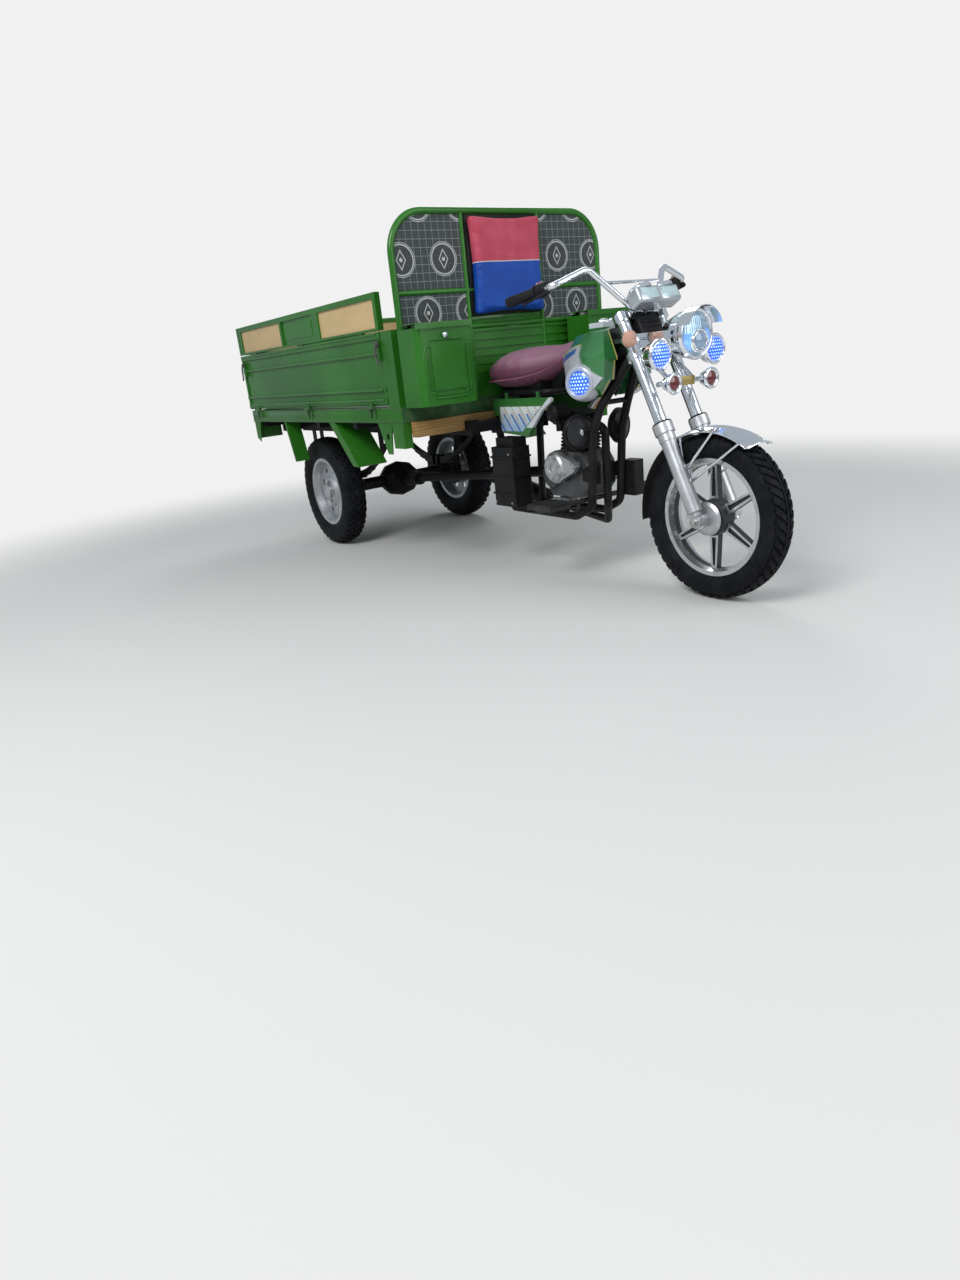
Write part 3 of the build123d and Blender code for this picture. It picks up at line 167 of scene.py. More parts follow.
def mirrored(obj):
    """A copy on the other side of the vehicle."""
    return copied(obj, Matrix.Scale(-1, 4, Vector((0, 1, 0))))


def with_mirror(name, obj):
    """One object with a left and a right half."""
    return joined(name, [obj, mirrored(obj)])


def shaft_matrix(start, end):
    """Turns and moves a piece made along +Z at the origin to run from start towards end."""
    turn = (Vector(end) - Vector(start)).to_track_quat("Z", "Y").to_matrix().to_4x4()
    return Matrix.Translation(Vector(start)) @ turn


def facing(place, direction):
    """Turns and moves a piece made facing +Z."""
    return shaft_matrix(place, Vector(place) + Vector(direction))


def lathe(outline, steps=48, smooth=35):
    """A turned piece about +Z from (radius, height) points, made by extruding a point and spinning it."""
    bare()
    bpy.ops.mesh.primitive_plane_add(size=0.01, location=(0, 0, 0))
    obj = bpy.context.object
    bpy.ops.object.mode_set(mode="EDIT")
    bpy.ops.mesh.select_mode(type="VERT")
    bpy.ops.mesh.select_all(action="SELECT")
    bpy.ops.mesh.merge(type="CENTER")
    points = [Vector((radius, 0, height)) for radius, height in outline]
    bpy.ops.transform.translate(value=points[0])
    for last, point in zip(points, points[1:]):
        bpy.ops.mesh.extrude_region_move(TRANSFORM_OT_translate={"value": point - last})
    bpy.ops.mesh.select_all(action="SELECT")
    bpy.ops.mesh.spin(steps=steps, angle=math.tau, center=(0, 0, 0), axis=(0, 0, 1))
    return close_mesh(obj, smooth=smooth)


def turned(outline, place, direction, steps=48, smooth=35):
    """A turned piece whose height runs along a direction."""
    obj = lathe(outline, steps, smooth)
    obj.data.transform(facing(place, direction))
    return obj


def bar(start, end, radius, steps=16):
    """A round bar between two places with eased ends."""
    length = (Vector(end) - Vector(start)).length
    ease = 0.4 * radius
    outline = [(0, 0), (radius - ease, 0), (radius, ease), (radius, length - ease), (radius - ease, length),
               (0, length)]
    obj = lathe(outline, steps, 40)
    obj.data.transform(shaft_matrix(start, end))
    return obj


def block(low, high, bevel=0.0, segments=2):
    """A box between two corners with eased edges."""
    low, high = Vector(low), Vector(high)
    bare()
    bpy.ops.mesh.primitive_cube_add(size=1, location=(low + high) / 2)
    obj = bpy.context.object
    obj.scale = high - low
    settle(obj)
    if bevel:
        apply_modifier(obj, "BEVEL", width=bevel, segments=segments, limit_method="ANGLE")
    return close_mesh(obj, weld=0, smooth=40)


def wire(points, radius, sides=2, closed=False, order=3):
    """A round wire along a smooth route, as a mesh."""
    bare()
    bpy.ops.curve.primitive_nurbs_path_add()
    obj = bpy.context.object
    curve = obj.data
    curve.splines.clear()
    spline = curve.splines.new("NURBS")
    spline.points.add(len(points) - 1)
    for point, place in zip(spline.points, points):
        point.co = (*place, 1.0)
    spline.order_u = order
    spline.use_endpoint_u = not closed
    spline.use_cyclic_u = closed
    curve.bevel_depth = radius
    curve.bevel_resolution = sides
    curve.resolution_u = 6
    curve.use_fill_caps = True
    obj.location = (0, 0, 0)
    bpy.ops.object.convert(target="MESH")
    return close_mesh(bpy.context.object, weld=0, smooth=60)


def present(obj, name, body, slot, *materials, replaces=()):
    """Names a finished piece, gives it its finish and lets it ride on its body."""
    obj.name = name
    obj.data.name = name
    if materials:
        obj.data.materials.clear()
        for material in materials:
            obj.data.materials.append(material)
    if replaces:
        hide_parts(*replaces)
    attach(obj, body)
    return obj


def assemble(name, parts, body, slot, material):
    """Joins parts into one piece and presents it."""
    return present(joined(name, parts), name, body, slot, material)


def hex_bolt(radius, height):
    """A bolt head with an eased top, standing on the origin."""
    bare()
    bpy.ops.mesh.primitive_cylinder_add(vertices=6, radius=radius, depth=height, location=(0, 0, height / 2))
    obj = settle(bpy.context.object)
    mesh = open_mesh(obj)
    pick(mesh, mesh.faces, lambda face: face.normal.z > 0.9)
    bpy.ops.mesh.inset(thickness=radius * 0.18, depth=radius * 0.1)
    return close_mesh(obj, smooth=0)


def bolts(name, places, radius, height, body, slot, material):
    """Bolt heads at (place, direction) pairs, as one piece."""
    head = hex_bolt(radius, height)
    heads = [copied(head, facing(place, direction)) for place, direction in places]
    bpy.data.objects.remove(head)
    return assemble(name, heads, body, slot, material)


# Shader writing
class Value:
    """A node's output that takes part in arithmetic: each operator adds one Math node."""

    def __init__(self, paint, socket):
        self.paint = paint
        self.socket = socket

    def math(self, operation, *others):
        """A Math node on this value and the others."""
        return self.paint.node("ShaderNodeMath", {"operation": operation}, [self, *others])

    def __add__(self, other):
        return self.math("ADD", other)

    def __sub__(self, other):
        return self.math("SUBTRACT", other)

    def __mul__(self, other):
        return self.math("MULTIPLY", other)

    def __truediv__(self, other):
        return self.math("DIVIDE", other)

    def __pow__(self, other):
        return self.math("POWER", other)

    def __gt__(self, other):
        return self.math("GREATER_THAN", other)

    def __lt__(self, other):
        return self.math("LESS_THAN", other)

    def __mod__(self, other):
        return self.math("FLOORED_MODULO", other)

    def __abs__(self):
        return self.math("ABSOLUTE")

    def __rsub__(self, other):
        return self.paint.node("ShaderNodeMath", {"operation": "SUBTRACT"}, [other, self])

    __radd__ = __add__
    __rmul__ = __mul__

    def within(self, low, high):
        """One between two limits, else nought."""
        return (self > low) * (self < high)

    def ramp(self, low, high, to_low=0.0, to_high=1.0):
        """This value stretched from one range to another, smoothly and within limits."""
        return self.paint.node("ShaderNodeMapRange", {"interpolation_type": "SMOOTHSTEP"},
                               [self, low, high, to_low, to_high])

    def cycle(self, pitch):
        """How far into its repeat this value is, from nought to one."""
        return (self / pitch) % 1.0

    def off_middle(self, pitch):
        """This value's distance from the middle of its repeat, from nought to a half."""
        return abs(self.cycle(pitch) - 0.5)


class Paint:
    """A material under construction."""

    def __init__(self, name):
        self.material = bpy.data.materials.new(name)
        self.material.use_nodes = True
        self.tree = self.material.node_tree
        self.tree.nodes.clear()

    def node(self, kind, settings=None, inputs=(), output=0):
        """Adds one node with its settings first, then the values or links of its sockets."""
        node = self.tree.nodes.new(kind)
        for key, value in (settings or {}).items():
            setattr(node, key, value)
        pairs = inputs.items() if isinstance(inputs, dict) else enumerate(inputs)
        for key, value in pairs:
            self.plug(node.inputs[key], value)
        return Value(self, node.outputs[output])

    def plug(self, socket, value):
        """Links a value to a socket, or sets the socket to a constant."""
        if isinstance(value, Value):
            self.tree.links.new(value.socket, socket)
        elif value is not None:
            if socket.type == "RGBA" and len(value) == 3:
                value = (*value, 1.0)
            socket.default_value = value

    def place(self):
        """Object coordinates, as a vector."""
        return self.node("ShaderNodeTexCoord", output="Object")

    def split(self, vector):
        """The three parts of a vector."""
        node = self.tree.nodes.new("ShaderNodeSeparateXYZ")
        self.plug(node.inputs[0], vector)
        return [Value(self, output) for output in node.outputs]

    def mapped(self, vector, scale):
        """A vector stretched along its axes."""
        return self.node("ShaderNodeMapping", {}, {"Vector": vector, "Scale": scale})

    def noise(self, vector, scale, detail=4.0, rough=0.5):
        """Cloudy noise from nought to one."""
        return self.node("ShaderNodeTexNoise", {},
                         {"Vector": vector, "Scale": scale, "Detail": detail, "Roughness": rough})

    def cells(self, vector, scale):
        """Distance to the nearest of scattered points."""
        return self.node("ShaderNodeTexVoronoi", {}, {"Vector": vector, "Scale": scale}, "Distance")

    def mix(self, factor, first, second):
        """A colour between two colours."""
        node = self.tree.nodes.new("ShaderNodeMix")
        node.data_type = "RGBA"
        for index, value in ((0, factor), (6, first), (7, second)):
            self.plug(node.inputs[index], value)
        return Value(self, node.outputs[2])

    def bump(self, height, distance, strength):
        """A normal roughened by a height."""
        return self.node("ShaderNodeBump", {}, {"Strength": strength, "Distance": distance, "Height": height})

    def along(self, place, centre, axis):
        """How far a place lies from a centre along an axis."""
        part = self.node("ShaderNodeVectorMath", {"operation": "SUBTRACT"}, [place, tuple(centre)])
        return self.node("ShaderNodeVectorMath", {"operation": "DOT_PRODUCT"}, [part, tuple(axis)], "Value")

    def surface(self, **sockets):
        """A Principled shader; names are its sockets with underscores for spaces."""
        shader = self.node("ShaderNodeBsdfPrincipled", {},
                           {name.replace("_", " "): value for name, value in sockets.items()})
        self.show(shader)
        return self.material

    def show(self, shader):
        """Makes this shader the material's surface."""
        output = self.tree.nodes.new("ShaderNodeOutputMaterial")
        self.plug(output.inputs["Surface"], shader)
        return self.material


def dust_and_wear(paint, place, colour, dust_colour=(0.30, 0.25, 0.18), amount=0.5, low=0.15, high=0.8):
    """The colour with road dust that thickens towards the ground."""
    height = paint.split(place)[2]
    patches = paint.noise(place, 7.0, 6.0, 0.65)
    fine = paint.noise(place, 60.0, 3.0)
    near_ground = height.ramp(low, high, 1.0, 0.04)
    mask = (patches * 0.7 + fine * 0.3).ramp(0.42, 0.72) * near_ground * amount
    return paint.mix(mask, colour, dust_colour), mask


def enamel(name, base, shade, rough=0.26, dust=0.16):
    """Sprayed enamel: slight orange peel, uneven tone, a clear coat and dust."""
    paint = Paint(name)
    place = paint.place()
    tone = paint.noise(place, 3.0, 5.0)
    colour = paint.mix(tone.ramp(0.35, 0.7), base, shade)
    colour, mask = dust_and_wear(paint, place, colour, amount=dust)
    scuffs = paint.noise(paint.mapped(place, scale=(1, 1, 9)), 22.0, 6.0, 0.7).ramp(0.62, 0.75)
    peel = paint.noise(place, 420.0, 2.0)
    return paint.surface(Base_Color=colour, Roughness=rough + mask * 0.5 + scuffs * 0.12,
                         Specular_IOR_Level=0.30, Coat_Weight=0.15, Coat_Roughness=0.06,
                         Normal=paint.bump(peel, 0.0003, 0.2))


def satin_black(name, base=(0.006, 0.006, 0.0065), rough=0.36, dust=0.12):
    """Black enamel or greasy steel under road dust."""
    paint = Paint(name)
    place = paint.place()
    tone = paint.noise(place, 9.0, 5.0)
    colour = paint.mix(tone.ramp(0.3, 0.75), base, [1.9 * part + 0.003 for part in base])
    colour, mask = dust_and_wear(paint, place, colour, (0.17, 0.14, 0.11), dust, 0.1, 0.9)
    grain = paint.noise(place, 260.0, 3.0)
    return paint.surface(Base_Color=colour, Roughness=rough + mask * 0.4 + tone * 0.1,
                         Specular_IOR_Level=0.16, Normal=paint.bump(grain, 0.0005, 0.25))


def bright_plate(name, tint=(0.86, 0.87, 0.89), rough=0.07):
    """Chrome plate with faint smears and pitting."""
    paint = Paint(name)
    place = paint.place()
    smear = paint.noise(paint.mapped(place, scale=(1, 1, 4)), 14.0, 5.0, 0.6).ramp(0.45, 0.75)
    pits = paint.cells(place, 170.0).ramp(0.0, 0.08, 1.0, 0.0)
    colour = paint.mix(pits * 0.2, tint, (0.32, 0.27, 0.22))
    return paint.surface(Base_Color=colour, Metallic=1.0, Roughness=rough + smear * 0.08 + pits * 0.12)


def cast_metal(name, base=(0.60, 0.61, 0.63), rough=0.34, grain_size=0.0009, metallic=0.85, dust=0.3):
    """Sand-cast or lacquered alloy."""
    paint = Paint(name)
    place = paint.place()
    tone = paint.noise(place, 12.0, 6.0)
    colour = paint.mix(tone.ramp(0.35, 0.75), base, [0.72 * part for part in base])
    colour, mask = dust_and_wear(paint, place, colour, (0.20, 0.17, 0.14), dust, 0.1, 0.7)
    grain = paint.noise(place, 300.0, 4.0)
    return paint.surface(Base_Color=colour, Metallic=metallic, Roughness=rough + mask * 0.4 + tone * 0.1,
                         Normal=paint.bump(grain, grain_size, 0.35))


def moulded(name, base=(0.006, 0.006, 0.007), rough=0.42, grain_scale=700.0, dust=0.08):
    """Moulded plastic or rubber with a fine leather grain."""
    paint = Paint(name)
    place = paint.place()
    tone = paint.noise(place, 20.0, 4.0)
    colour = paint.mix(tone.ramp(0.3, 0.8), base, [1.7 * part + 0.001 for part in base])
    colour, mask = dust_and_wear(paint, place, colour, (0.20, 0.17, 0.13), dust, 0.1, 0.9)
    grain = paint.cells(place, grain_scale)
    return paint.surface(Base_Color=colour, Roughness=rough + mask * 0.3, Specular_IOR_Level=0.18,
                         Normal=paint.bump(grain, 0.0005, 0.3))


def board_cloth(name):
    """Dark cloth on the headboard: a pale plaid grid with rings round plain diamonds, set in rows."""
    paint = Paint(name)
    place = paint.place()
    y, z = paint.split(place)[1:]
    pitch = 0.032
    grid = ((y.cycle(pitch) < 0.08) + (z.cycle(pitch) < 0.08)).math("MINIMUM", 1.0)
    fine = ((y.cycle(pitch / 3) < 0.12) + (z.cycle(pitch / 3) < 0.12)).math("MINIMUM", 1.0)
    cell = 0.205
    row = (z / cell).math("FLOOR")
    u = ((y + row * (cell * 0.5)).cycle(cell) - 0.5) * cell
    v = (z.cycle(cell) - 0.5) * cell
    radius = (u * u + v * v).math("SQRT")
    ring = radius.within(0.055, 0.0605) + radius.within(0.064, 0.0665)
    diamond = abs(abs(u) * 1.7 + abs(v) - 0.036) < 0.0042
    dot = radius < 0.008
    marks = (ring + diamond + dot).math("MINIMUM", 1.0)
    inside = radius < 0.0605
    base = paint.mix(grid * 0.55 + fine * 0.15, (0.016, 0.024, 0.027), (0.24, 0.28, 0.28))
    base = paint.mix(inside * (1.0 - marks) * 0.85, base, (0.020, 0.027, 0.030))
    colour = paint.mix(marks * 0.8, base, (0.52, 0.54, 0.53))
    weave = paint.noise(place, 900.0, 2.0)
    return paint.surface(Base_Color=colour, Roughness=0.62, Sheen_Weight=0.15,
                         Normal=paint.bump(weave + grid * 0.3, 0.0006, 0.35))


def smooth_board(name, base=(0.60, 0.43, 0.21)):
    """Tan sheet board with light scuffs."""
    paint = Paint(name)
    place = paint.place()
    tone = paint.noise(paint.mapped(place, scale=(1, 1, 3)), 5.0, 3.0)
    colour = paint.mix(tone.ramp(0.35, 0.7), base, [0.92 * part for part in base])
    colour, mask = dust_and_wear(paint, place, colour, (0.34, 0.27, 0.18), 0.12, 0.8, 1.3)
    return paint.surface(Base_Color=colour, Roughness=0.42 + mask * 0.3)


def sawn_wood(name):
    """A rough sawn plank with grain along its length."""
    paint = Paint(name)
    place = paint.place()
    along = paint.mapped(place, scale=(8, 1.2, 16))
    rings = paint.node("ShaderNodeTexWave", {"bands_direction": "Z"},
                       {"Vector": along, "Scale": 2.2, "Distortion": 7.0, "Detail": 4.0, "Detail Scale": 1.4})
    fibre = paint.noise(paint.mapped(place, scale=(30, 2, 60)), 9.0, 6.0, 0.7)
    colour = paint.mix(rings.ramp(0.2, 0.8), (0.37, 0.22, 0.075), (0.23, 0.125, 0.040))
    colour = paint.mix(fibre.ramp(0.5, 0.8) * 0.5, colour, (0.10, 0.06, 0.03))
    return paint.surface(Base_Color=colour, Roughness=0.72,
                         Normal=paint.bump(fibre + rings * 0.4, 0.0015, 0.6))


def clear_lens(name, tint, rough=0.08, glow=0.0):
    """A coloured plastic lens with fine ribs; it may glow."""
    paint = Paint(name)
    place = paint.place()
    y, z = paint.split(place)[1:]
    ribs = y.off_middle(0.006) + z.off_middle(0.006)
    return paint.surface(Base_Color=tint, Roughness=rough, Coat_Weight=0.6, Emission_Color=tint,
                         Emission_Strength=glow, Normal=paint.bump(ribs, 0.0008, 0.4))


def tyre_rubber(name):
    """Tyre rubber, greyed by dust on its walls, with fine moulding lines."""
    paint = Paint(name)
    place = paint.place()
    tone = paint.noise(place, 14.0, 5.0)
    colour = paint.mix(tone.ramp(0.3, 0.75), (0.004, 0.0045, 0.006), (0.011, 0.012, 0.014))
    dirt = paint.noise(place, 55.0, 5.0, 0.65).ramp(0.5, 0.72)
    colour = paint.mix(dirt * 0.10, colour, (0.12, 0.11, 0.10))
    grain = paint.noise(place, 600.0, 3.0)
    return paint.surface(Base_Color=colour, Roughness=0.56 + dirt * 0.2, Specular_IOR_Level=0.10,
                         Normal=paint.bump(grain, 0.0005, 0.4))


def leather_grain(paint, place):
    """Pebbled grain with soft creases."""
    pebbles = paint.cells(place, 420.0)
    creases = paint.noise(place, 26.0, 5.0, 0.6)
    return paint.bump(pebbles + creases * 0.8, 0.0012, 0.5)


def saddle_vinyl(name):
    """Mauve vinyl: paler towards the top, deeper towards the bottom round the sides and under the nose."""
    paint = Paint(name)
    place = paint.place()
    height = paint.split(place)[2]
    # Paler towards the top by height alone, with random blotches
    worn = (height.ramp(0.84, 0.94) * 0.7 + paint.noise(place, 9.0, 5.0) * 0.5).ramp(0.25, 0.95)
    colour = paint.mix(worn, (0.135, 0.035, 0.070), (0.26, 0.125, 0.180))
    stain = paint.noise(place, 30.0, 6.0, 0.7).ramp(0.55, 0.7)
    colour = paint.mix(stain * 0.4, colour, (0.10, 0.045, 0.06))
    return paint.surface(Base_Color=colour, Roughness=0.46 + stain * 0.15, Sheen_Weight=0.1,
                         Normal=leather_grain(paint, place))


def two_tone_vinyl(name):
    """Pad vinyl, red above and blue below a pale line."""
    paint = Paint(name)
    place = paint.place()
    height = paint.split(place)[2]
    blotch = paint.noise(place, 12.0, 5.0)
    red = paint.mix(blotch.ramp(0.35, 0.7), (0.42, 0.050, 0.085), (0.50, 0.075, 0.12))
    blue = paint.mix(blotch.ramp(0.35, 0.7), (0.004, 0.050, 0.31), (0.007, 0.068, 0.38))
    colour = paint.mix(height > 1.310, blue, red)
    colour = paint.mix(height.within(1.3085, 1.3125), colour, (0.50, 0.47, 0.52))
    return paint.surface(Base_Color=colour, Roughness=0.42, Specular_IOR_Level=0.25,
                         Normal=leather_grain(paint, place))


def spoked_alloy(name):
    """The front wheel: black spokes with machined edges, a silver rim and a black hub."""
    paint = Paint(name)
    place = paint.place()
    hub = middle("front_wheel")
    x, y, z = paint.split(place)
    radius = ((x - hub.x) ** 2.0 + (z - hub.z) ** 2.0).math("SQRT")
    edge = (abs(y) > 0.0127) * (radius > 0.068) * (radius < 0.21)
    rim = radius > 0.193
    bright = (edge + rim).math("MINIMUM", 1.0)
    turned = paint.noise(paint.mapped(place, scale=(1, 60, 1)), 9.0, 3.0)
    grime = paint.noise(place, 24.0, 6.0, 0.65).ramp(0.5, 0.75)
    colour = paint.mix(bright, (0.018, 0.019, 0.021), (0.56, 0.58, 0.60))
    colour = paint.mix(grime * 0.35, colour, (0.16, 0.14, 0.12))
    return paint.surface(Base_Color=colour, Metallic=bright * 0.9,
                         Roughness=0.42 - bright * 0.18 + grime * 0.3,
                         Normal=paint.bump(turned, 0.0003, 0.2))


def pressed_wheel(name):
    """Aluminium lacquer on the pressed rear wheels, rusty where the stones chip it."""
    paint = Paint(name)
    place = paint.place()
    tone = paint.noise(place, 9.0, 5.0)
    chips = paint.noise(place, 85.0, 6.0, 0.7).ramp(0.63, 0.68)
    dust = paint.noise(place, 16.0, 6.0, 0.6).ramp(0.4, 0.75)
    colour = paint.mix(tone.ramp(0.3, 0.7), (0.50, 0.525, 0.55), (0.36, 0.38, 0.40))
    colour = paint.mix(dust * 0.26, colour, (0.26, 0.22, 0.18))
    colour = paint.mix(chips * 0.7, colour, (0.11, 0.05, 0.025))
    return paint.surface(Base_Color=colour, Metallic=0.6, Roughness=0.30 + dust * 0.25,
                         Normal=paint.bump(tone + chips * -0.4, 0.0006, 0.4))


def tank_enamel(name):
    """Green enamel with a yellow pinstripe down the front edge, painted shade on the front face between the
    side panels, and a pale filler box.
    """
    paint = Paint(name)
    place = paint.place()
    x, y, z = paint.split(place)
    tone = paint.noise(place, 4.0, 4.0)
    colour = paint.mix(tone.ramp(0.3, 0.75), (0.024, 0.150, 0.040), (0.034, 0.195, 0.055))
    forward = x - REAR_AXLE_X
    # The front edge leans one way above its crease, another below it, and runs back at the foot
    edge = (1.962 - (z - 0.880) * 0.417).math("MINIMUM", 1.962 - (0.880 - z) * 0.175)
    edge = edge.math("MINIMUM", 1.948 - (0.800 - z) * 0.892)
    behind = edge - forward
    # Half the width of the painted shade that stands for the gap round the frame, which steps out downwards
    shaded_half_width = (0.056 + (z < 0.872) * 0.012 + (z < 0.802) * 0.018).math("MAXIMUM", (z - 0.872) * 0.5)
    beside = abs(y) - shaded_half_width
    front = (behind < 0.003) * (z < 0.996)
    colour = paint.mix(front * beside.within(0.004, 0.0105), colour, (0.62, 0.52, 0.16))
    # Painted shade: the front face between the side panels is near black-green
    colour = paint.mix(front * (beside < 0.004), colour, (0.006, 0.012, 0.008))
    box = (z > 0.9935) * forward.within(1.78, 1.88) * (abs(y) < 0.045)
    colour = paint.mix(box, colour, (0.66, 0.68, 0.74))
    dust = paint.noise(place, 30.0, 6.0, 0.7).ramp(0.55, 0.8)
    colour = paint.mix(dust * 0.12, colour, (0.30, 0.26, 0.19))
    peel = paint.noise(place, 420.0, 2.0)
    return paint.surface(Base_Color=colour, Roughness=0.24 + dust * 0.2, Coat_Weight=0.6, Coat_Roughness=0.08,
                         Normal=paint.bump(peel, 0.0003, 0.2))


def tank_side_trim(name):
    """Pearl lacquer on the tank's side panels with a yellow edge line and plain blue sweeps."""
    paint = Paint(name)
    place = paint.place()
    x, _, z = paint.split(place)
    forward = x - REAR_AXLE_X
    pearl = paint.noise(place, 16.0, 5.0, 0.6)
    colour = paint.mix(pearl.ramp(0.3, 0.75), (0.52, 0.54, 0.59), (0.66, 0.68, 0.74))
    sweep = z - 0.872 - (forward - 1.70) * 0.30
    band = sweep.within(0.0, 0.022) * forward.within(1.70, 1.815)
    colour = paint.mix(band, colour, (0.05, 0.16, 0.42))
    fine = sweep.within(0.028, 0.033) * forward.within(1.72, 1.80)
    colour = paint.mix(fine, colour, (0.02, 0.03, 0.05))
    lip = z - 0.899 - (forward - 1.716) * 0.33
    line = lip.within(0.0, 0.007) * (forward > 1.70)
    colour = paint.mix(line, colour, (0.62, 0.55, 0.20))
    rear = (forward - 1.6965).within(-0.01, 0.006) * z.within(0.79, 0.86)
    colour = paint.mix(rear, colour, (0.015, 0.04, 0.12))
    speck = paint.cells(place, 900.0).ramp(0.0, 0.4, 1.0, 0.0)
    return paint.surface(Base_Color=colour, Metallic=0.25, Roughness=0.26 + pearl * 0.08, Coat_Weight=0.5,
                         Coat_Roughness=0.07, Normal=paint.bump(speck, 0.0002, 0.15))


def side_cover_stripes(name):
    """Green side cover with a pale panel of plain slanted stripes and a silver band up its front edge."""
    paint = Paint(name)
    place = paint.place()
    x, y, z = paint.split(place)
    forward = x - REAR_AXLE_X
    tone = paint.noise(place, 5.0, 4.0)
    colour = paint.mix(tone.ramp(0.3, 0.75), (0.024, 0.125, 0.026), (0.034, 0.165, 0.036))
    slope = (forward - 1.548) * 0.74 - (z - 0.640)
    silver = slope.within(-0.036, 0.03) * (z > 0.628)
    panel = (z < 0.716) * (z > 0.612) * (forward > 1.304) * (slope < -0.040)
    along = forward + z * 0.8
    ground = paint.mix((z - 0.60).ramp(0.02, 0.11), (0.30, 0.42, 0.58), (0.62, 0.66, 0.66))
    bands = along.cycle(0.055)
    ground = paint.mix(bands.within(0.0, 0.24) * (z < 0.685), ground, (0.05, 0.17, 0.46))
    ground = paint.mix(bands.within(0.34, 0.42) * z.within(0.64, 0.70), ground, (0.55, 0.25, 0.07))
    ground = paint.mix(bands.within(0.60, 0.66) * (z > 0.66), ground, (0.03, 0.03, 0.035))
    colour = paint.mix(panel * (abs(y) > 0.145), colour, ground)
    colour = paint.mix(silver, colour, (0.56, 0.58, 0.62))
    dust = paint.noise(place, 34.0, 6.0, 0.7).ramp(0.5, 0.8)
    colour = paint.mix(dust * 0.2, colour, (0.24, 0.20, 0.15))
    return paint.surface(Base_Color=colour, Roughness=0.3 + dust * 0.2, Coat_Weight=0.4, Coat_Roughness=0.1)


def worn_deck(name):
    """Green steel floor, scratched to dull metal and rust where loads are dragged."""
    paint = Paint(name)
    place = paint.place()
    height = paint.split(place)[2]
    tone = paint.noise(place, 3.0, 5.0)
    colour = paint.mix(tone.ramp(0.35, 0.7), (0.020, 0.090, 0.020), (0.030, 0.130, 0.028))
    drag = paint.noise(paint.mapped(place, scale=(1.5, 34, 1)), 7.0, 6.0, 0.7).ramp(0.55, 0.66)
    spots = paint.noise(place, 11.0, 7.0, 0.75).ramp(0.52, 0.7)
    top = height > 0.7615
    colour = paint.mix(drag * top * 0.65, colour, (0.20, 0.19, 0.17))
    colour = paint.mix(spots * top * 0.45, colour, (0.14, 0.07, 0.035))
    dust = paint.noise(place, 26.0, 5.0).ramp(0.4, 0.8)
    colour = paint.mix(dust * 0.3, colour, (0.27, 0.23, 0.17))
    return paint.surface(Base_Color=colour, Roughness=0.45 + dust * 0.25,
                         Normal=paint.bump(drag + spots, 0.0008, 0.4))


def silver_above(name, height):
    """Black foot rests whose levers, above a height, are bright plate."""
    paint = Paint(name)
    place = paint.place()
    lever = paint.split(place)[2] > height
    tone = paint.noise(place, 20.0, 5.0)
    colour = paint.mix(tone.ramp(0.3, 0.75), (0.010, 0.010, 0.011), (0.030, 0.028, 0.026))
    colour = paint.mix(lever, colour, (0.58, 0.60, 0.62))
    return paint.surface(Base_Color=colour, Metallic=lever * 0.95, Roughness=0.55 - lever * 0.35,
                         Normal=paint.bump(paint.noise(place, 500.0, 2.0), 0.0004, 0.3))


def yoke_and_legs(name):
    """The fork: bright upper legs and black yokes between them."""
    paint = Paint(name)
    place = paint.place()
    leg = abs(paint.split(place)[1]) > 0.0705
    smear = paint.noise(paint.mapped(place, scale=(1, 1, 4)), 14.0, 5.0, 0.6).ramp(0.45, 0.75)
    colour = paint.mix(leg, (0.010, 0.010, 0.011), (0.80, 0.83, 0.87))
    return paint.surface(Base_Color=colour, Metallic=leg, Roughness=0.36 - leg * 0.22 + smear * 0.08,
                         Specular_IOR_Level=0.3)


def split_lamp(name, front_x, tint, glow=0.0):
    """Lamps whose lens shows ahead of a plane and whose body is bright plate behind it."""
    paint = Paint(name)
    place = paint.place()
    x, y, z = paint.split(place)
    lens = x > (REAR_AXLE_X + front_x)
    ribs = y.off_middle(0.005) + z.off_middle(0.005)
    colour = paint.mix(lens, (0.62, 0.65, 0.69), tint)
    return paint.surface(Base_Color=colour, Metallic=1.0 - lens, Roughness=0.12, Coat_Weight=lens * 0.7,
                         Emission_Color=paint.mix(lens, (0.0, 0.0, 0.0), tint), Emission_Strength=glow,
                         Normal=paint.bump(ribs * lens, 0.0008, 0.4))


def rear_lamp(name):
    """Tail lamps: red lens with an amber end, on a black back."""
    paint = Paint(name)
    place = paint.place()
    x, y, z = paint.split(place)
    lens = x < (REAR_AXLE_X - 0.632)
    ribs = y.off_middle(0.006) + z.off_middle(0.006)
    tint = paint.mix(abs(y) > 0.378, (0.42, 0.015, 0.012), (0.62, 0.20, 0.02))
    colour = paint.mix(lens * (z < 0.6805), (0.015, 0.015, 0.016), tint)
    return paint.surface(Base_Color=colour, Roughness=0.12, Coat_Weight=0.6,
                         Normal=paint.bump(ribs * lens, 0.0008, 0.4))


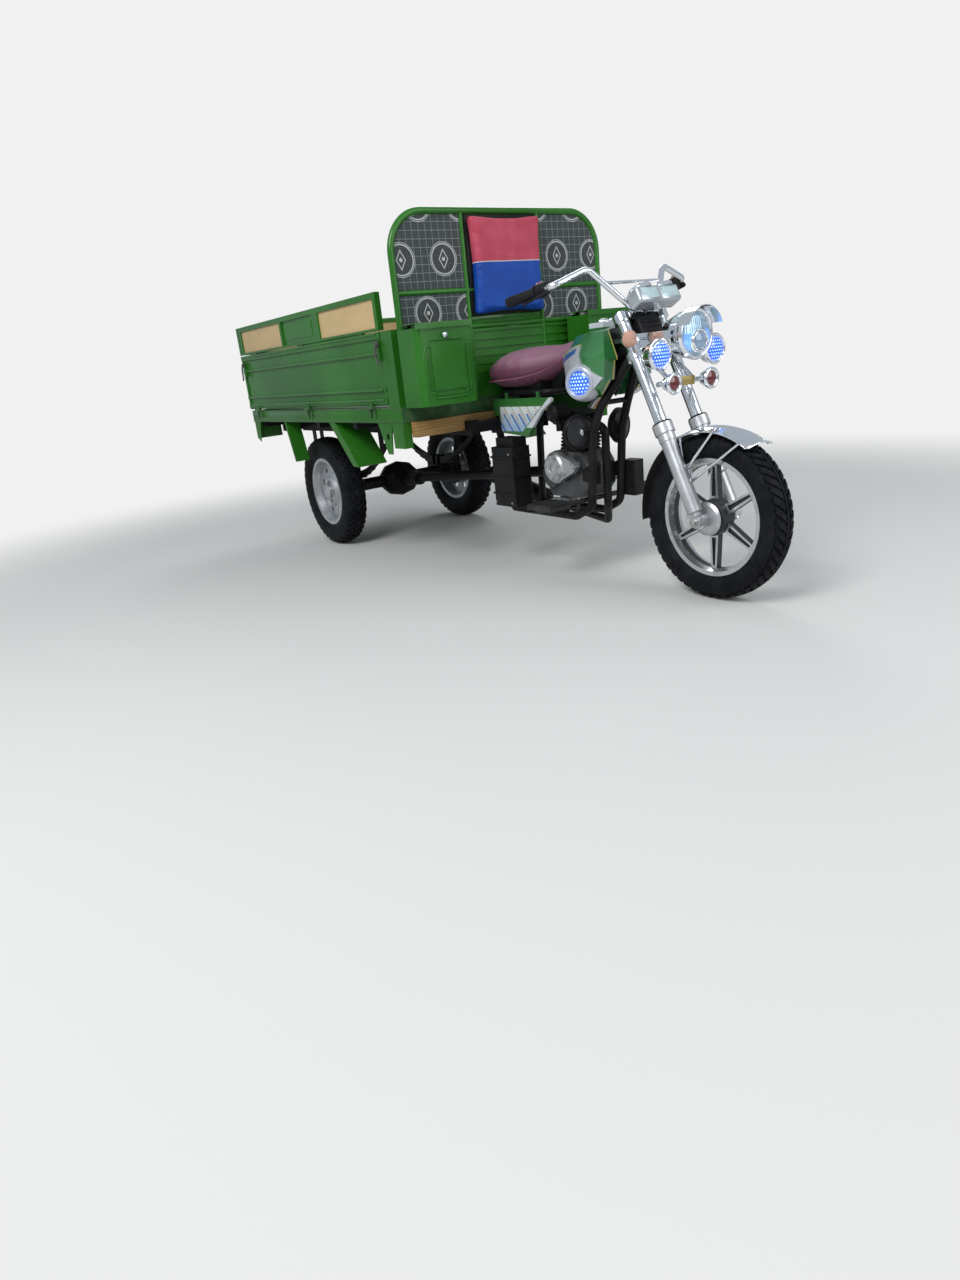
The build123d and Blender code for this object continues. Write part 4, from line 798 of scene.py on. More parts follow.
def lit_cluster(name, centre, direction, pitch=0.011, tint=(0.03, 0.10, 0.95)):
    """A lamp face of small blue lights: bright dots on a glowing blue ground."""
    paint = Paint(name)
    place = paint.place()
    normal = Vector(direction).normalized()
    right = normal.cross(Vector((0, 0, 1))).normalized()
    u, v = [paint.along(place, centre, axis) for axis in (right, right.cross(normal))]
    row = (v / pitch).math("FLOOR")
    across = ((u / pitch + (row % 2.0) * 0.5) % 1.0) - 0.5
    up = ((v / pitch) % 1.0) - 0.5
    spot = (across * across + up * up).math("SQRT").ramp(0.14, 0.40, 1.0, 0.0)
    radius = (u * u + v * v).math("SQRT")
    core = radius.ramp(0.0, 0.055, 1.0, 0.25)
    colour = paint.mix(spot, tint, (0.55, 0.85, 1.0))
    light = paint.mix(spot * core, [0.55 * part for part in tint], (0.35, 0.80, 1.0))
    return paint.surface(Base_Color=colour, Roughness=0.1, Coat_Weight=0.8, Emission_Color=light,
                         Emission_Strength=0.9)


def fluted_glass(name, tint=(0.24, 0.36, 0.46)):
    """Headlamp glass over its reflector, with upright flutes painted lighter towards their edges as a painted
    reflection, and a blue glow in two side clusters.
    """
    paint = Paint(name)
    place = paint.place()
    y, z = paint.split(place)[1:]
    flutes = y.off_middle(0.009)
    cross = z.off_middle(0.026)
    # Painted reflection: each flute and cross band is lighter towards its edges
    depth = (flutes + cross * 0.5).ramp(0.0, 0.75)
    colour = paint.mix(depth, tint, [min(1.0, 1.7 * part) for part in tint])
    side, low = abs(y) - 0.040, z - 0.915
    near = (side * side + low * low).math("SQRT").ramp(0.008, 0.044, 1.0, 0.0)
    light = paint.mix(near, (0.0, 0.0, 0.0), (0.04, 0.20, 1.0))
    return paint.surface(Base_Color=colour, Metallic=0.45, Roughness=0.08, Coat_Weight=1.0,
                         Coat_Roughness=0.02, Emission_Color=light, Emission_Strength=1.4,
                         Normal=paint.bump(flutes + cross * 0.6, 0.002, 0.6))


def plain_glass(name, tint):
    """A small smooth lens."""
    paint = Paint(name)
    place = paint.place()
    swirl = paint.noise(place, 60.0, 3.0)
    colour = paint.mix(swirl, tint, [0.6 * part for part in tint])
    return paint.surface(Base_Color=colour, Roughness=0.07, Coat_Weight=0.8, Coat_Roughness=0.03)


def dial_face(name, centre, direction):
    """A dark dial under glass with pale tick marks and a needle, and no figures."""
    paint = Paint(name)
    place = paint.place()
    normal = Vector(direction).normalized()
    right = Vector((0, -1, 0))
    u, v = [paint.along(place, centre, axis) for axis in (right, right.cross(normal) * -1)]
    radius = (u * u + v * v).math("SQRT")
    turn = v.math("ARCTAN2", u)
    ticks = (((turn / (math.tau / 36)) % 1.0) < 0.22) * radius.within(0.0270, 0.0320) * (v > -0.018)
    needle = (abs(u * 0.60 - v * 0.80) < 0.0009) * (radius < 0.026) * (u < 0.004)
    boss = radius < 0.004
    marks = (ticks + needle + boss).math("MINIMUM", 1.0)
    colour = paint.mix(marks, (0.012, 0.014, 0.018), (0.75, 0.74, 0.68))
    return paint.surface(Base_Color=colour, Roughness=0.25, Coat_Weight=1.0, Coat_Roughness=0.02)


def woven_wire(name):
    """Black woven mesh over the horns, with painted shade in the gaps between the wires."""
    paint = Paint(name)
    place = paint.place()
    y, z = paint.split(place)[1:]
    pitch = 0.0065
    wires = (y + z).off_middle(pitch).math("MAXIMUM", (y - z).off_middle(pitch))
    mask = wires.ramp(0.30, 0.42)
    # Painted shade: the gaps between the wires are near black
    colour = paint.mix(mask, (0.004, 0.004, 0.005), (0.065, 0.068, 0.074))
    return paint.surface(Base_Color=colour, Metallic=0.5, Roughness=0.34,
                         Normal=paint.bump(mask, 0.0012, 0.8))


FINISHES = {
    "green_paint": lambda: enamel("green enamel", (0.018, 0.122, 0.009), (0.026, 0.162, 0.014)),
    "black_paint": lambda: satin_black("black enamel"),
    "chrome": lambda: bright_plate("chrome plate", (0.86, 0.89, 0.93), 0.11),
    "silver": lambda: cast_metal("satin alloy"),
    "steel_silver": lambda: cast_metal("silver lacquer", (0.55, 0.57, 0.60), 0.3, 0.0004, 0.6),
    "black_plastic": lambda: moulded("black moulding"),
    "rubber": lambda: moulded("black rubber", (0.014, 0.014, 0.015), 0.62, 500.0),
    "tyre": lambda: moulded("tyre rubber", (0.016, 0.017, 0.019), 0.66, 900.0, 0.5),
    "board_tan": lambda: smooth_board("tan board"),
    "board_dark": lambda: board_cloth("dark plaid cloth"),
    "seat_vinyl": lambda: moulded("saddle vinyl", (0.20, 0.045, 0.085), 0.42, 380.0, 0.2),
    "pad_vinyl": lambda: moulded("pad vinyl", (0.5, 0.03, 0.05), 0.4, 380.0, 0.1),
    "plank_wood": lambda: sawn_wood("sawn plank"),
    "lamp": lambda: clear_lens("red lens", (0.45, 0.02, 0.015)),
}


NODE_FINISHES = {
    "front_wheel": lambda: spoked_alloy("spoked alloy"),
    "rear_wheel_left": lambda: pressed_wheel("left pressed wheel"),
    "rear_wheel_right": lambda: pressed_wheel("right pressed wheel"),
    "fuel_tank": lambda: tank_enamel("tank enamel"),
    "tank_panels": lambda: tank_side_trim("pearl side trim"),
    "side_covers": lambda: side_cover_stripes("striped side cover"),
    "cargo_deck": lambda: worn_deck("worn deck enamel"),
    "turn_signals": lambda: split_lamp("amber signal lens", 2.118, (0.52, 0.29, 0.21), 0.04),
    "tail_lamps": lambda: rear_lamp("red and amber rear lens"),
    "instruments": lambda: cast_metal("instrument housing", (0.52, 0.57, 0.60), 0.2, 0.0002, 0.5, 0.05),
    "foot_controls": lambda: silver_above("foot rests and levers", 0.343),
    "fork": lambda: yoke_and_legs("fork yokes and legs"),
    "crankcase": lambda: cast_metal("greyed crankcase alloy", (0.15, 0.153, 0.158), 0.36, 0.0009, 0.8, 0.2),
    "headboard_panels": lambda: board_cloth("dark plaid board"),
}


def node_slots():
    """Each node's material slot, from the record."""
    return {part["node"]: part["material_slot"] for part in frame["record"]["subparts"]}


class TricycleSizes(bpy.types.PropertyGroup):
    """Sizes that a user would change."""
    tread_depth: bpy.props.FloatProperty(name="Tread depth", description="Depth of the tyre grooves",
                                         default=0.006, unit="LENGTH")


class StageSettings(bpy.types.PropertyGroup):
    """The camera's place and aim, and the floor."""
    camera_x: bpy.props.FloatProperty(name="Camera forward", description="Camera ahead of the rear axle",
                                      default=4.3006, unit="LENGTH")
    camera_y: bpy.props.FloatProperty(name="Camera left", description="Camera to the left of the middle",
                                      default=-2.3105, unit="LENGTH")
    camera_z: bpy.props.FloatProperty(name="Camera height", description="Camera above the floor",
                                      default=0.9343, unit="LENGTH")
    yaw: bpy.props.FloatProperty(name="Yaw", description="Heading of the view from straight ahead",
                                 default=math.radians(147.3), subtype="ANGLE")
    pitch: bpy.props.FloatProperty(name="Pitch", description="How far the view looks up",
                                   default=math.radians(-19.4), subtype="ANGLE")
    roll: bpy.props.FloatProperty(name="Roll", description="Tilt of the picture",
                                  default=math.radians(-6.1), subtype="ANGLE")
    lens: bpy.props.FloatProperty(name="Lens", description="Focal length on the picture's 36 mm long side",
                                  default=22.5)
    floor_colour: bpy.props.FloatVectorProperty(name="Floor", description="Colour of floor and backdrop",
                                                default=(0.66, 0.66, 0.65), subtype="COLOR")


BACKDROP = (0.88, 0.88, 0.88)
SKY = (0.84, 0.90, 0.96)
MIRRORED_SKY = (0.40, 0.44, 0.48)


def backdrop_material(name, colour):
    """Pale stage paint that the camera and mirrors see evenly lit, and that still takes shadow."""
    paint = Paint(name)
    x, y = paint.split(paint.place())[:2]
    radius = (x * x + y * y).math("SQRT")
    lit = paint.node("ShaderNodeBsdfDiffuse", {}, {"Color": colour})
    far = paint.node("ShaderNodeEmission", {}, {"Color": BACKDROP, "Strength": 1.0})
    seen = paint.node("ShaderNodeLightPath", output="Is Camera Ray")
    return paint.show(paint.node("ShaderNodeMixShader", {}, [radius.ramp(2.3, 4.6) * seen, lit, far]))


class TRICYCLE_OT_stage(bpy.types.Operator):
    """Floor, camera, lamps and world"""
    bl_idname = "tricycle.stage"
    bl_label = "Set the stage"

    def execute(self, context):
        stage = context.scene.tricycle_stage
        self.add_floor(stage)
        self.add_camera(stage)
        self.add_lights(context)
        context.scene.view_settings.view_transform = "Standard"
        return {"FINISHED"}

    def add_floor(self, stage):
        """A wide pale floor."""
        bpy.ops.mesh.primitive_grid_add(x_subdivisions=4, y_subdivisions=4, size=60.0, location=(0, 0, 0))
        floor = bpy.context.object
        floor.name = "floor"
        floor.data.materials.append(backdrop_material("pale floor", stage.floor_colour))

    def add_camera(self, stage):
        """The camera, turned by its yaw, pitch and roll."""
        yaw, pitch, roll = stage.yaw, stage.pitch, stage.roll
        forward = Vector((math.cos(yaw) * math.cos(pitch), math.sin(yaw) * math.cos(pitch), math.sin(pitch)))
        right = forward.cross(Vector((0, 0, 1))).normalized()
        up = right.cross(forward)
        turned_right = right * math.cos(roll) + up * math.sin(roll)
        turned_up = up * math.cos(roll) - right * math.sin(roll)
        matrix = Matrix((turned_right, turned_up, -forward)).transposed().to_4x4()
        matrix.translation = Vector((REAR_AXLE_X + stage.camera_x, stage.camera_y, stage.camera_z))
        data = bpy.data.cameras.new("camera")
        data.lens = stage.lens
        data.sensor_width = 36.0
        camera = bpy.data.objects.new("camera", data)
        bpy.context.collection.objects.link(camera)
        camera.matrix_world = matrix
        bpy.context.scene.camera = camera

    def add_lights(self, context):
        """Three soft lamps and the sky."""
        lamps = (
            # name, place, aim, size, watts
            ("key", (2.2, -4.2, 4.4), (0.2, 0, 0.6), 2.5, 225),
            ("fill", (5.0, 1.5, 2.6), (0.5, 0, 0.6), 3.0, 85),
            ("rim", (-3.6, 3.0, 4.5), (0, 0, 0.8), 2.6, 90),
        )
        for name, place, aim, size, watts in lamps:
            bpy.ops.object.light_add(type="AREA", location=place)
            lamp = bpy.context.object
            lamp.name = name
            lamp.data.size = size
            lamp.data.energy = watts
            lamp.rotation_euler = (Vector(aim) - Vector(place)).to_track_quat("-Z", "Y").to_euler()
        self.add_sky(context)

    def add_sky(self, context):
        """Soft light for all, a plain backdrop for the camera and a calmer sky for mirrors."""
        world = bpy.data.worlds.new("studio")
        world.use_nodes = True
        context.scene.world = world
        tree = world.node_tree
        rays = tree.nodes.new("ShaderNodeLightPath")
        shown = tree.nodes["Background"]
        shown.inputs["Color"].default_value = (*SKY, 1.0)
        shown.inputs["Strength"].default_value = 0.42
        for ray, colour in (("Is Glossy Ray", MIRRORED_SKY), ("Is Camera Ray", BACKDROP)):
            other = tree.nodes.new("ShaderNodeBackground")
            other.inputs["Color"].default_value = (*colour, 1.0)
            choice = tree.nodes.new("ShaderNodeMixShader")
            tree.links.new(rays.outputs[ray], choice.inputs[0])
            tree.links.new(shown.outputs[0], choice.inputs[1])
            tree.links.new(other.outputs[0], choice.inputs[2])
            shown = choice
        tree.links.new(shown.outputs[0], tree.nodes["World Output"].inputs[0])


class TRICYCLE_OT_finishes(bpy.types.Operator):
    """Gives every frame node the finish of its slot"""
    bl_idname = "tricycle.finishes"
    bl_label = "Finish the frame"

    def execute(self, context):
        made = {}
        for node, slot in node_slots().items():
            if node in NODE_FINISHES:
                finish = NODE_FINISHES[node]()
            else:
                if slot not in made:
                    made[slot] = FINISHES[slot]()
                finish = made[slot]
            mesh = nodes[node].data
            mesh.materials.clear()
            mesh.materials.append(finish)
        return {"FINISHED"}


# Tyres
def through(first, second, third, steps):
    """Points of the arc through three (radius, height) points."""
    (ax, ay), (bx, by), (cx, cy) = first, second, third
    turn = 2 * (ax * (by - cy) + bx * (cy - ay) + cx * (ay - by))
    a2, b2, c2 = ax * ax + ay * ay, bx * bx + by * by, cx * cx + cy * cy
    mx = (a2 * (by - cy) + b2 * (cy - ay) + c2 * (ay - by)) / turn
    my = (a2 * (cx - bx) + b2 * (ax - cx) + c2 * (bx - ax)) / turn
    radius = math.hypot(ax - mx, ay - my)
    start = math.atan2(ay - my, ax - mx)
    sweep = (math.atan2(cy - my, cx - mx) - start + math.pi) % math.tau - math.pi
    angles = [start + sweep * i / steps for i in range(steps + 1)]
    return [(mx + radius * math.cos(angle), my + radius * math.sin(angle)) for angle in angles]


def tread_tyre(node, body, bead_r, bead_half, depth, steps, strips, raised, material):
    """A tyre in its node's space: side walls, a crown lowered by the tread's depth, and raised blocks."""
    low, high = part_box(node)
    radius = (high[2] - low[2]) / 2
    width = high[1] - low[1]
    side = (0.5 * (bead_r + radius), width / 2)
    shoulder = (radius - 0.1 * width, 0.4 * width)
    wall = through((bead_r, bead_half), side, shoulder, 9)[:-1]
    crown = through((shoulder[0], -shoulder[1]), (radius, 0), shoulder, 40)
    edges = sorted({sign * strip * shoulder[1] for strip in strips for sign in (-1, 1)})
    tread = []
    for height in edges:
        nearest = min(crown, key=lambda point: abs(point[1] - height))
        tread.append((nearest[0] - depth, height))
    outline = [(r, -h) for r, h in wall] + tread + list(reversed(wall)) + [(bead_r, -bead_half)]
    tyre = lathe(outline, steps, 0)
    mesh = open_mesh(tyre)

    def block_face(face):
        """Whether a face of the crown stands up as tread."""
        centre = face.calc_center_median()
        if abs(centre.z) >= shoulder[1] or centre.to_2d().length < bead_r + 2 * depth:
            return False
        strip = sum(edge < centre.z for edge in edges) - len(edges) // 2
        step = math.floor(math.atan2(centre.y, centre.x) / math.tau * steps)
        return raised(step, strip if strip > 0 else 1 - strip, centre.z > 0)

    pick(mesh, mesh.faces, block_face)
    bpy.ops.mesh.extrude_region_shrink_fatten(TRANSFORM_OT_shrink_fatten={"value": depth})
    close_mesh(tyre, smooth=28)
    tyre.data.transform(facing(middle(node), (0, 1, 0)))
    return present(tyre, node + "_treaded", body, "tyre", material, replaces=(node,))


def road_tread(step, strip, left):
    """Front pattern: a centre rib, then slanted blocks whose slots lean back towards the shoulders."""
    if strip == 1:
        return True
    if strip == 2:
        return False
    lean = strip if left else strip + 3
    return (step + lean) % 6 < 4


def lug_tread(step, strip, left):
    """Rear pattern: staggered centre blocks and deep square shoulder lugs."""
    if strip in (3, 6):
        return False
    if strip < 3:
        return (step + (0 if left else 3)) % 6 < 4
    if strip < 6:
        return (step + 3 + (0 if left else 3)) % 6 < 4
    return (step + (0 if left else 3)) % 6 < 3


class TRICYCLE_OT_tyres(bpy.types.Operator):
    """The three tyres with their tread"""
    bl_idname = "tricycle.tyres"
    bl_label = "Tread the tyres"

    def execute(self, context):
        depth = context.scene.tricycle_sizes.tread_depth
        rubber = tyre_rubber("treaded tyre rubber")
        front_strips = (0.08, 0.17, 0.31, 0.45, 0.59, 0.73, 0.86, 1.0)
        tread_tyre("front_tyre", "wheel_front", 0.2153, 0.036, depth, 300, front_strips, road_tread, rubber)
        rear_strips = (0.14, 0.28, 0.34, 0.48, 0.62, 0.68, 0.84, 1.0)
        for side in ("left", "right"):
            tread_tyre("rear_tyre_" + side, "wheel_rear_" + side, 0.1873, 0.048, depth, 252, rear_strips,
                       lug_tread, rubber)
        return {"FINISHED"}


# Soft goods
def swollen(obj, cap, pressure=4.0, voxel=0.005, frames=20):
    """Puffs a closed shape with Cloth, moves no point further than the cap, and smooths it."""
    apply_modifier(obj, "REMESH", mode="VOXEL", voxel_size=voxel)
    start = [vertex.co.copy() for vertex in obj.data.vertices]
    hold(obj)
    cloth = obj.modifiers.new("cloth", "CLOTH")
    cloth.settings.use_pressure = True
    cloth.settings.uniform_pressure_force = pressure
    cloth.settings.effector_weights.gravity = 0.0
    cloth.point_cache.frame_start = 1
    cloth.point_cache.frame_end = frames
    scene = bpy.context.scene
    for number in range(1, frames + 1):
        scene.frame_set(number)
    bpy.ops.object.modifier_apply(modifier=cloth.name)
    scene.frame_set(1)
    for vertex, place in zip(obj.data.vertices, start):
        move = vertex.co - place
        if move.length > cap:
            vertex.co = place + move * (cap / move.length)
    return apply_modifier(obj, "SUBSURF", levels=1, render_levels=1)


def rounded_ring(half_width, low, high, steps=24, power=2.4):
    """Points (y, z) of a soft-cornered ring."""
    middle_z, half_height = (low + high) / 2, (high - low) / 2
    ring = []
    for i in range(steps):
        angle = math.tau * i / steps
        c, s = math.cos(angle), math.sin(angle)
        ring.append((half_width * math.copysign(abs(c) ** (2 / power), c),
                     middle_z + half_height * math.copysign(abs(s) ** (2 / power), s)))
    return ring


def lofted(name, rings):
    """A closed shell bridged over rings of places, capped at both ends."""
    count = len(rings[0])
    bare()
    bpy.ops.mesh.primitive_circle_add(vertices=count, radius=0.01, fill_type="NOTHING")
    obj = bpy.context.object
    mesh = open_mesh(obj, "VERT")
    mesh.verts.ensure_lookup_table()
    for vertex, place in zip(mesh.verts, rings[0]):
        vertex.co = place
        vertex.select_set(True)
    mesh.select_flush_mode()
    for ring in rings[1:]:
        bpy.ops.mesh.extrude_region_move()
        mesh = bmesh.from_edit_mesh(obj.data)
        mesh.verts.ensure_lookup_table()
        chosen = [vertex for vertex in mesh.verts if vertex.select]
        chosen.sort(key=lambda vertex: vertex.index)
        for vertex, place in zip(chosen, ring):
            vertex.co = place
    bpy.ops.mesh.select_all(action="SELECT")
    bpy.ops.mesh.fill_holes(sides=0)
    obj.name = name
    return close_mesh(obj, weld=0)


SADDLE = (
    # forward of the rear axle, half width, low, high, all mm
    (1234, 104, 818, 856),
    (1246, 158, 804, 892),
    (1282, 188, 794, 924),
    (1340, 197, 791, 943),
    (1410, 193, 791, 949),
    (1480, 171, 795, 949),
    (1545, 127, 812, 945),
    (1605, 86, 843, 945),
    (1665, 58, 885, 955),
    (1708, 37, 921, 966),
    (1728, 15, 946, 970),
)


class TRICYCLE_OT_saddle(bpy.types.Operator):
    """The puffed saddle"""
    bl_idname = "tricycle.saddle"
    bl_label = "Pad the saddle"

    def execute(self, context):
        rings = [[at(x, y, z) for y, z in rounded_ring(half - 5, low + 2, high - 5)]
                 for x, half, low, high in SADDLE]
        cushion = lofted("saddle_cushion", rings)
        swollen(cushion, 0.007)
        rest = min(low for _, _, low, _ in SADDLE) * MM
        for vertex in cushion.data.vertices:
            vertex.co.z = max(vertex.co.z, rest)
        close_mesh(cushion, weld=0, smooth=180)
        present(cushion, "saddle_cushion", "chassis", "seat_vinyl", saddle_vinyl("mauve saddle vinyl"),
                replaces=("seat",))
        return {"FINISHED"}


class TRICYCLE_OT_back_pad(bpy.types.Operator):
    """The rider's two-colour back pad, the board behind it and the green sheet below it"""
    bl_idname = "tricycle.back_pad"
    bl_label = "Pad the back rest"

    def execute(self, context):
        low, high = (Vector(corner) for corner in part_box("back_pad"))
        pad = block(low + Vector((0.001, 0.000, 0.002)), high + Vector((-0.008, 0.000, -0.002)), 0.010, 3)
        swollen(pad, 0.012, 3.0)
        for vertex in pad.data.vertices:
            vertex.co.x = max(vertex.co.x, low[0])
        close_mesh(pad, weld=0, smooth=180)
        present(pad, "back_pad_cushion", "chassis", "pad_vinyl", two_tone_vinyl("red and blue pad vinyl"),
                replaces=("back_pad",))
        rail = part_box("front_panel")[1][2] / MM + 22.5
        foot, bay_half = rail + 30, 190.5
        # A black board behind the pad; where it shows as a thin line round the pad's edges, its black is
        # painted shade
        board = block(at(1204, -bay_half, foot), at(1219, bay_half, 1499.5), 0.002)
        present(board, "back_pad_board", "chassis", "black_paint", satin_black("pad board black"))
        sheet = block(at(1205, -bay_half, rail), at(1210, bay_half, foot), 0.001)
        roll = bar(at(1210, -188, rail + 15), at(1210, 188, rail + 15), 0.0035)
        assemble("back_pad_sheet", [sheet, roll], "chassis", "green_paint", FINISHES["green_paint"]())
        return {"FINISHED"}


# Lamps
AHEAD = Vector((1, 0, 0))
SIDES = (("left", 1), ("right", -1))
PALE_CHROME = (0.88, 0.90, 0.93)
FRONT_AXLE_X, FRONT_AXLE_Z = 2375, 302
RAKE = math.radians(26)
SPOT_LENS = ((0, 0.0155), (0.012, 0.0150), (0.024, 0.0135), (0.034, 0.0112), (0.041, 0.0080),
             (0.044, 0.0045), (0, 0.0045))
POD_LENS = ((0, 0.0120), (0.013, 0.0114), (0.026, 0.0092), (0.036, 0.0060), (0.0430, 0.0020),
            (0.0430, -0.0010), (0, -0.0010))


def on_fork(z, y=0):
    """A place beside the fork's line at a height, from millimetres."""
    return at(FRONT_AXLE_X - (z - FRONT_AXLE_Z) * math.tan(RAKE), y, z)


def grip_ends(side):
    """The outer and inner end of a grip's axis."""
    return at(1745, side * 385, 1110), at(1940, side * 330, 1143)


class TRICYCLE_OT_lamps(bpy.types.Operator):
    """Lenses of the headlamp, spot lamps, fog lamps and tank lamps"""
    bl_idname = "tricycle.lamps"
    bl_label = "Glaze the lamps"

    def execute(self, context):
        self.headlamp()
        self.projector()
        self.spots()
        self.fogs()
        self.tank_lamps()
        return {"FINISHED"}

    def headlamp(self):
        """The headlamp's fluted glass in its rolled rim."""
        dome = ((0, 0.0150), (0.015, 0.0146), (0.030, 0.0132), (0.045, 0.0108), (0.058, 0.0076),
                (0.068, 0.0036), (0.0715, 0.0005), (0, 0.0005))
        place = at(2290, 0, 935)
        lens = turned(dome, place, AHEAD, 72, 50)
        present(lens, "headlamp_lens", "steering", "lamp", fluted_glass("fluted headlamp glass"))
        bead = ((0.0715, 0.001), (0.0735, 0.0045), (0.0770, 0.0060), (0.0805, 0.0045), (0.082, 0.001),
                (0.0715, 0.001))
        rim = turned(bead, place, AHEAD, 72, 60)
        present(rim, "headlamp_rim_bead", "steering", "chrome",
                bright_plate("headlamp bead plate", PALE_CHROME))

    def projector(self):
        """A round projector low in the headlamp, in its own bright ring."""
        place = at(2290, 0, 911)
        ring = ((0.0300, 0.0080), (0.0305, 0.0205), (0.0335, 0.0225), (0.0375, 0.0205), (0.0385, 0.0060),
                (0.0300, 0.0080))
        dome = ((0, 0.0270), (0.010, 0.0262), (0.020, 0.0235), (0.0295, 0.0185), (0.0300, 0.0080),
                (0, 0.0080))
        present(turned(ring, place, AHEAD, 56, 60), "projector_ring", "steering", "chrome",
                bright_plate("projector ring plate", PALE_CHROME))
        present(turned(dome, place, AHEAD, 48, 50), "projector_lens", "steering", "lamp",
                plain_glass("projector glass", (0.30, 0.44, 0.62)))

    def spots(self):
        """The two spot lamps with their small blue lights."""
        ring = ((0.0440, 0.004), (0.0450, 0.0095), (0.0480, 0.0110), (0.0515, 0.0085), (0.0530, 0.004),
                (0.0440, 0.004))
        rings = []
        for name, side in SIDES:
            place = at(2250, side * 140, 877)
            lens = turned(SPOT_LENS, place, AHEAD, 48, 50)
            glow = lit_cluster(name + " spot lamp lights", place, AHEAD)
            present(lens, "spot_lens_" + name, "steering", "lamp", glow)
            rings.append(turned(ring, place, AHEAD, 48, 60))
        assemble("spot_bezels", rings, "steering", "chrome", bright_plate("spot bezel plate", PALE_CHROME))

    def fogs(self):
        """The two small red lamps and the blank plate between them."""
        glass, rings = [], []
        dome = ((0, 0.0095), (0.009, 0.0090), (0.018, 0.0074), (0.0248, 0.0042), (0.0248, 0.0025),
                (0, 0.0025))
        ring = ((0.0248, 0.003), (0.0262, 0.0075), (0.0320, 0.0095), (0.0370, 0.0065), (0.0385, 0.001),
                (0.0248, 0.001))
        for _, side in SIDES:
            place = at(2272, side * 96, 779)
            glass.append(turned(dome, place, AHEAD, 40, 50))
            rings.append(turned(ring, place, AHEAD, 40, 60))
        assemble("fog_lenses", glass, "steering", "lamp", plain_glass("dark red glass", (0.16, 0.012, 0.016)))
        assemble("fog_bezels", rings, "steering", "chrome", bright_plate("fog bezel plate", PALE_CHROME))
        plate = block(at(2236.5, -48, 764), at(2239.5, 48, 796), 0.0012)
        present(plate, "blank_front_plate", "steering", "steel_silver",
                cast_metal("brass plate", (0.55, 0.42, 0.16), 0.3, 0.0003, 0.8, 0.1))

    def tank_lamps(self):
        """The lamps in the pods on the tank's sides."""
        turn = math.radians(17.5)
        for name, side in SIDES:
            direction = Vector((math.sin(turn), side * math.cos(turn), 0))
            place = at(1836, side * 116, 800) + direction * 0.044
            lens = turned(POD_LENS, place, direction, 56, 50)
            present(lens, "tank_lamp_lens_" + name, "chassis", "lamp",
                    lit_cluster(name + " tank lamp lights", place, direction, 0.013))
            halo = ((0.0430, -0.001), (0.0436, 0.0050), (0.0470, 0.0078), (0.0525, 0.0100), (0.0562, 0.0088),
                    (0.0580, 0.0055), (0.0560, -0.001), (0.0430, -0.001))
            ring = turned(halo, place, direction, 56, 60)
            present(ring, "tank_lamp_rim_" + name, "chassis", "lamp",
                    plain_glass(name + " tank lamp surround", (0.46, 0.54, 0.72)))


# Horns and engine
class TRICYCLE_OT_horns(bpy.types.Operator):
    """Woven grilles and blank badges on the two horns"""
    bl_idname = "tricycle.horns"
    bl_label = "Grille the horns"

    def execute(self, context):
        turn = math.radians(15)
        dome = ((0, 0.0270), (0.015, 0.0264), (0.030, 0.0246), (0.045, 0.0212), (0.056, 0.0172),
                (0.063, 0.0125), (0, 0.0125))
        badge_outline = ((0, 0.0318), (0.010, 0.0314), (0.0130, 0.0300), (0.0135, 0.0255), (0, 0.0255))
        hoop = ((0.0610, 0.0110), (0.0615, 0.0160), (0.0650, 0.0180), (0.0690, 0.0150), (0.0700, 0.0080),
                (0.0610, 0.0110))
        oval = Matrix.Rotation(0.35, 4, "Z") @ Matrix.Diagonal((0.62, 1.0, 1.0, 1.0))
        grilles, badges, hoops = [], [], []
        for _, side in SIDES:
            direction = Vector((math.cos(turn), side * math.sin(turn), 0))
            place = at(1774, side * 110, 608)
            grilles.append(turned(dome, place, direction, 64, 50))
            hoops.append(turned(hoop, place, direction, 64, 60))
            badge = lathe(badge_outline, 32, 40)
            badge.data.transform(facing(place, direction) @ oval)
            badges.append(badge)
        assemble("horn_grilles", grilles, "chassis", "black_plastic", woven_wire("woven horn mesh"))
        assemble("horn_hoops", hoops, "chassis", "black_plastic", satin_black("horn hoop black", rough=0.3))
        assemble("horn_badges", badges, "chassis", "silver",
                 cast_metal("blank badge alloy", (0.66, 0.68, 0.71), 0.2, 0.0002, 0.9, 0.1))
        return {"FINISHED"}


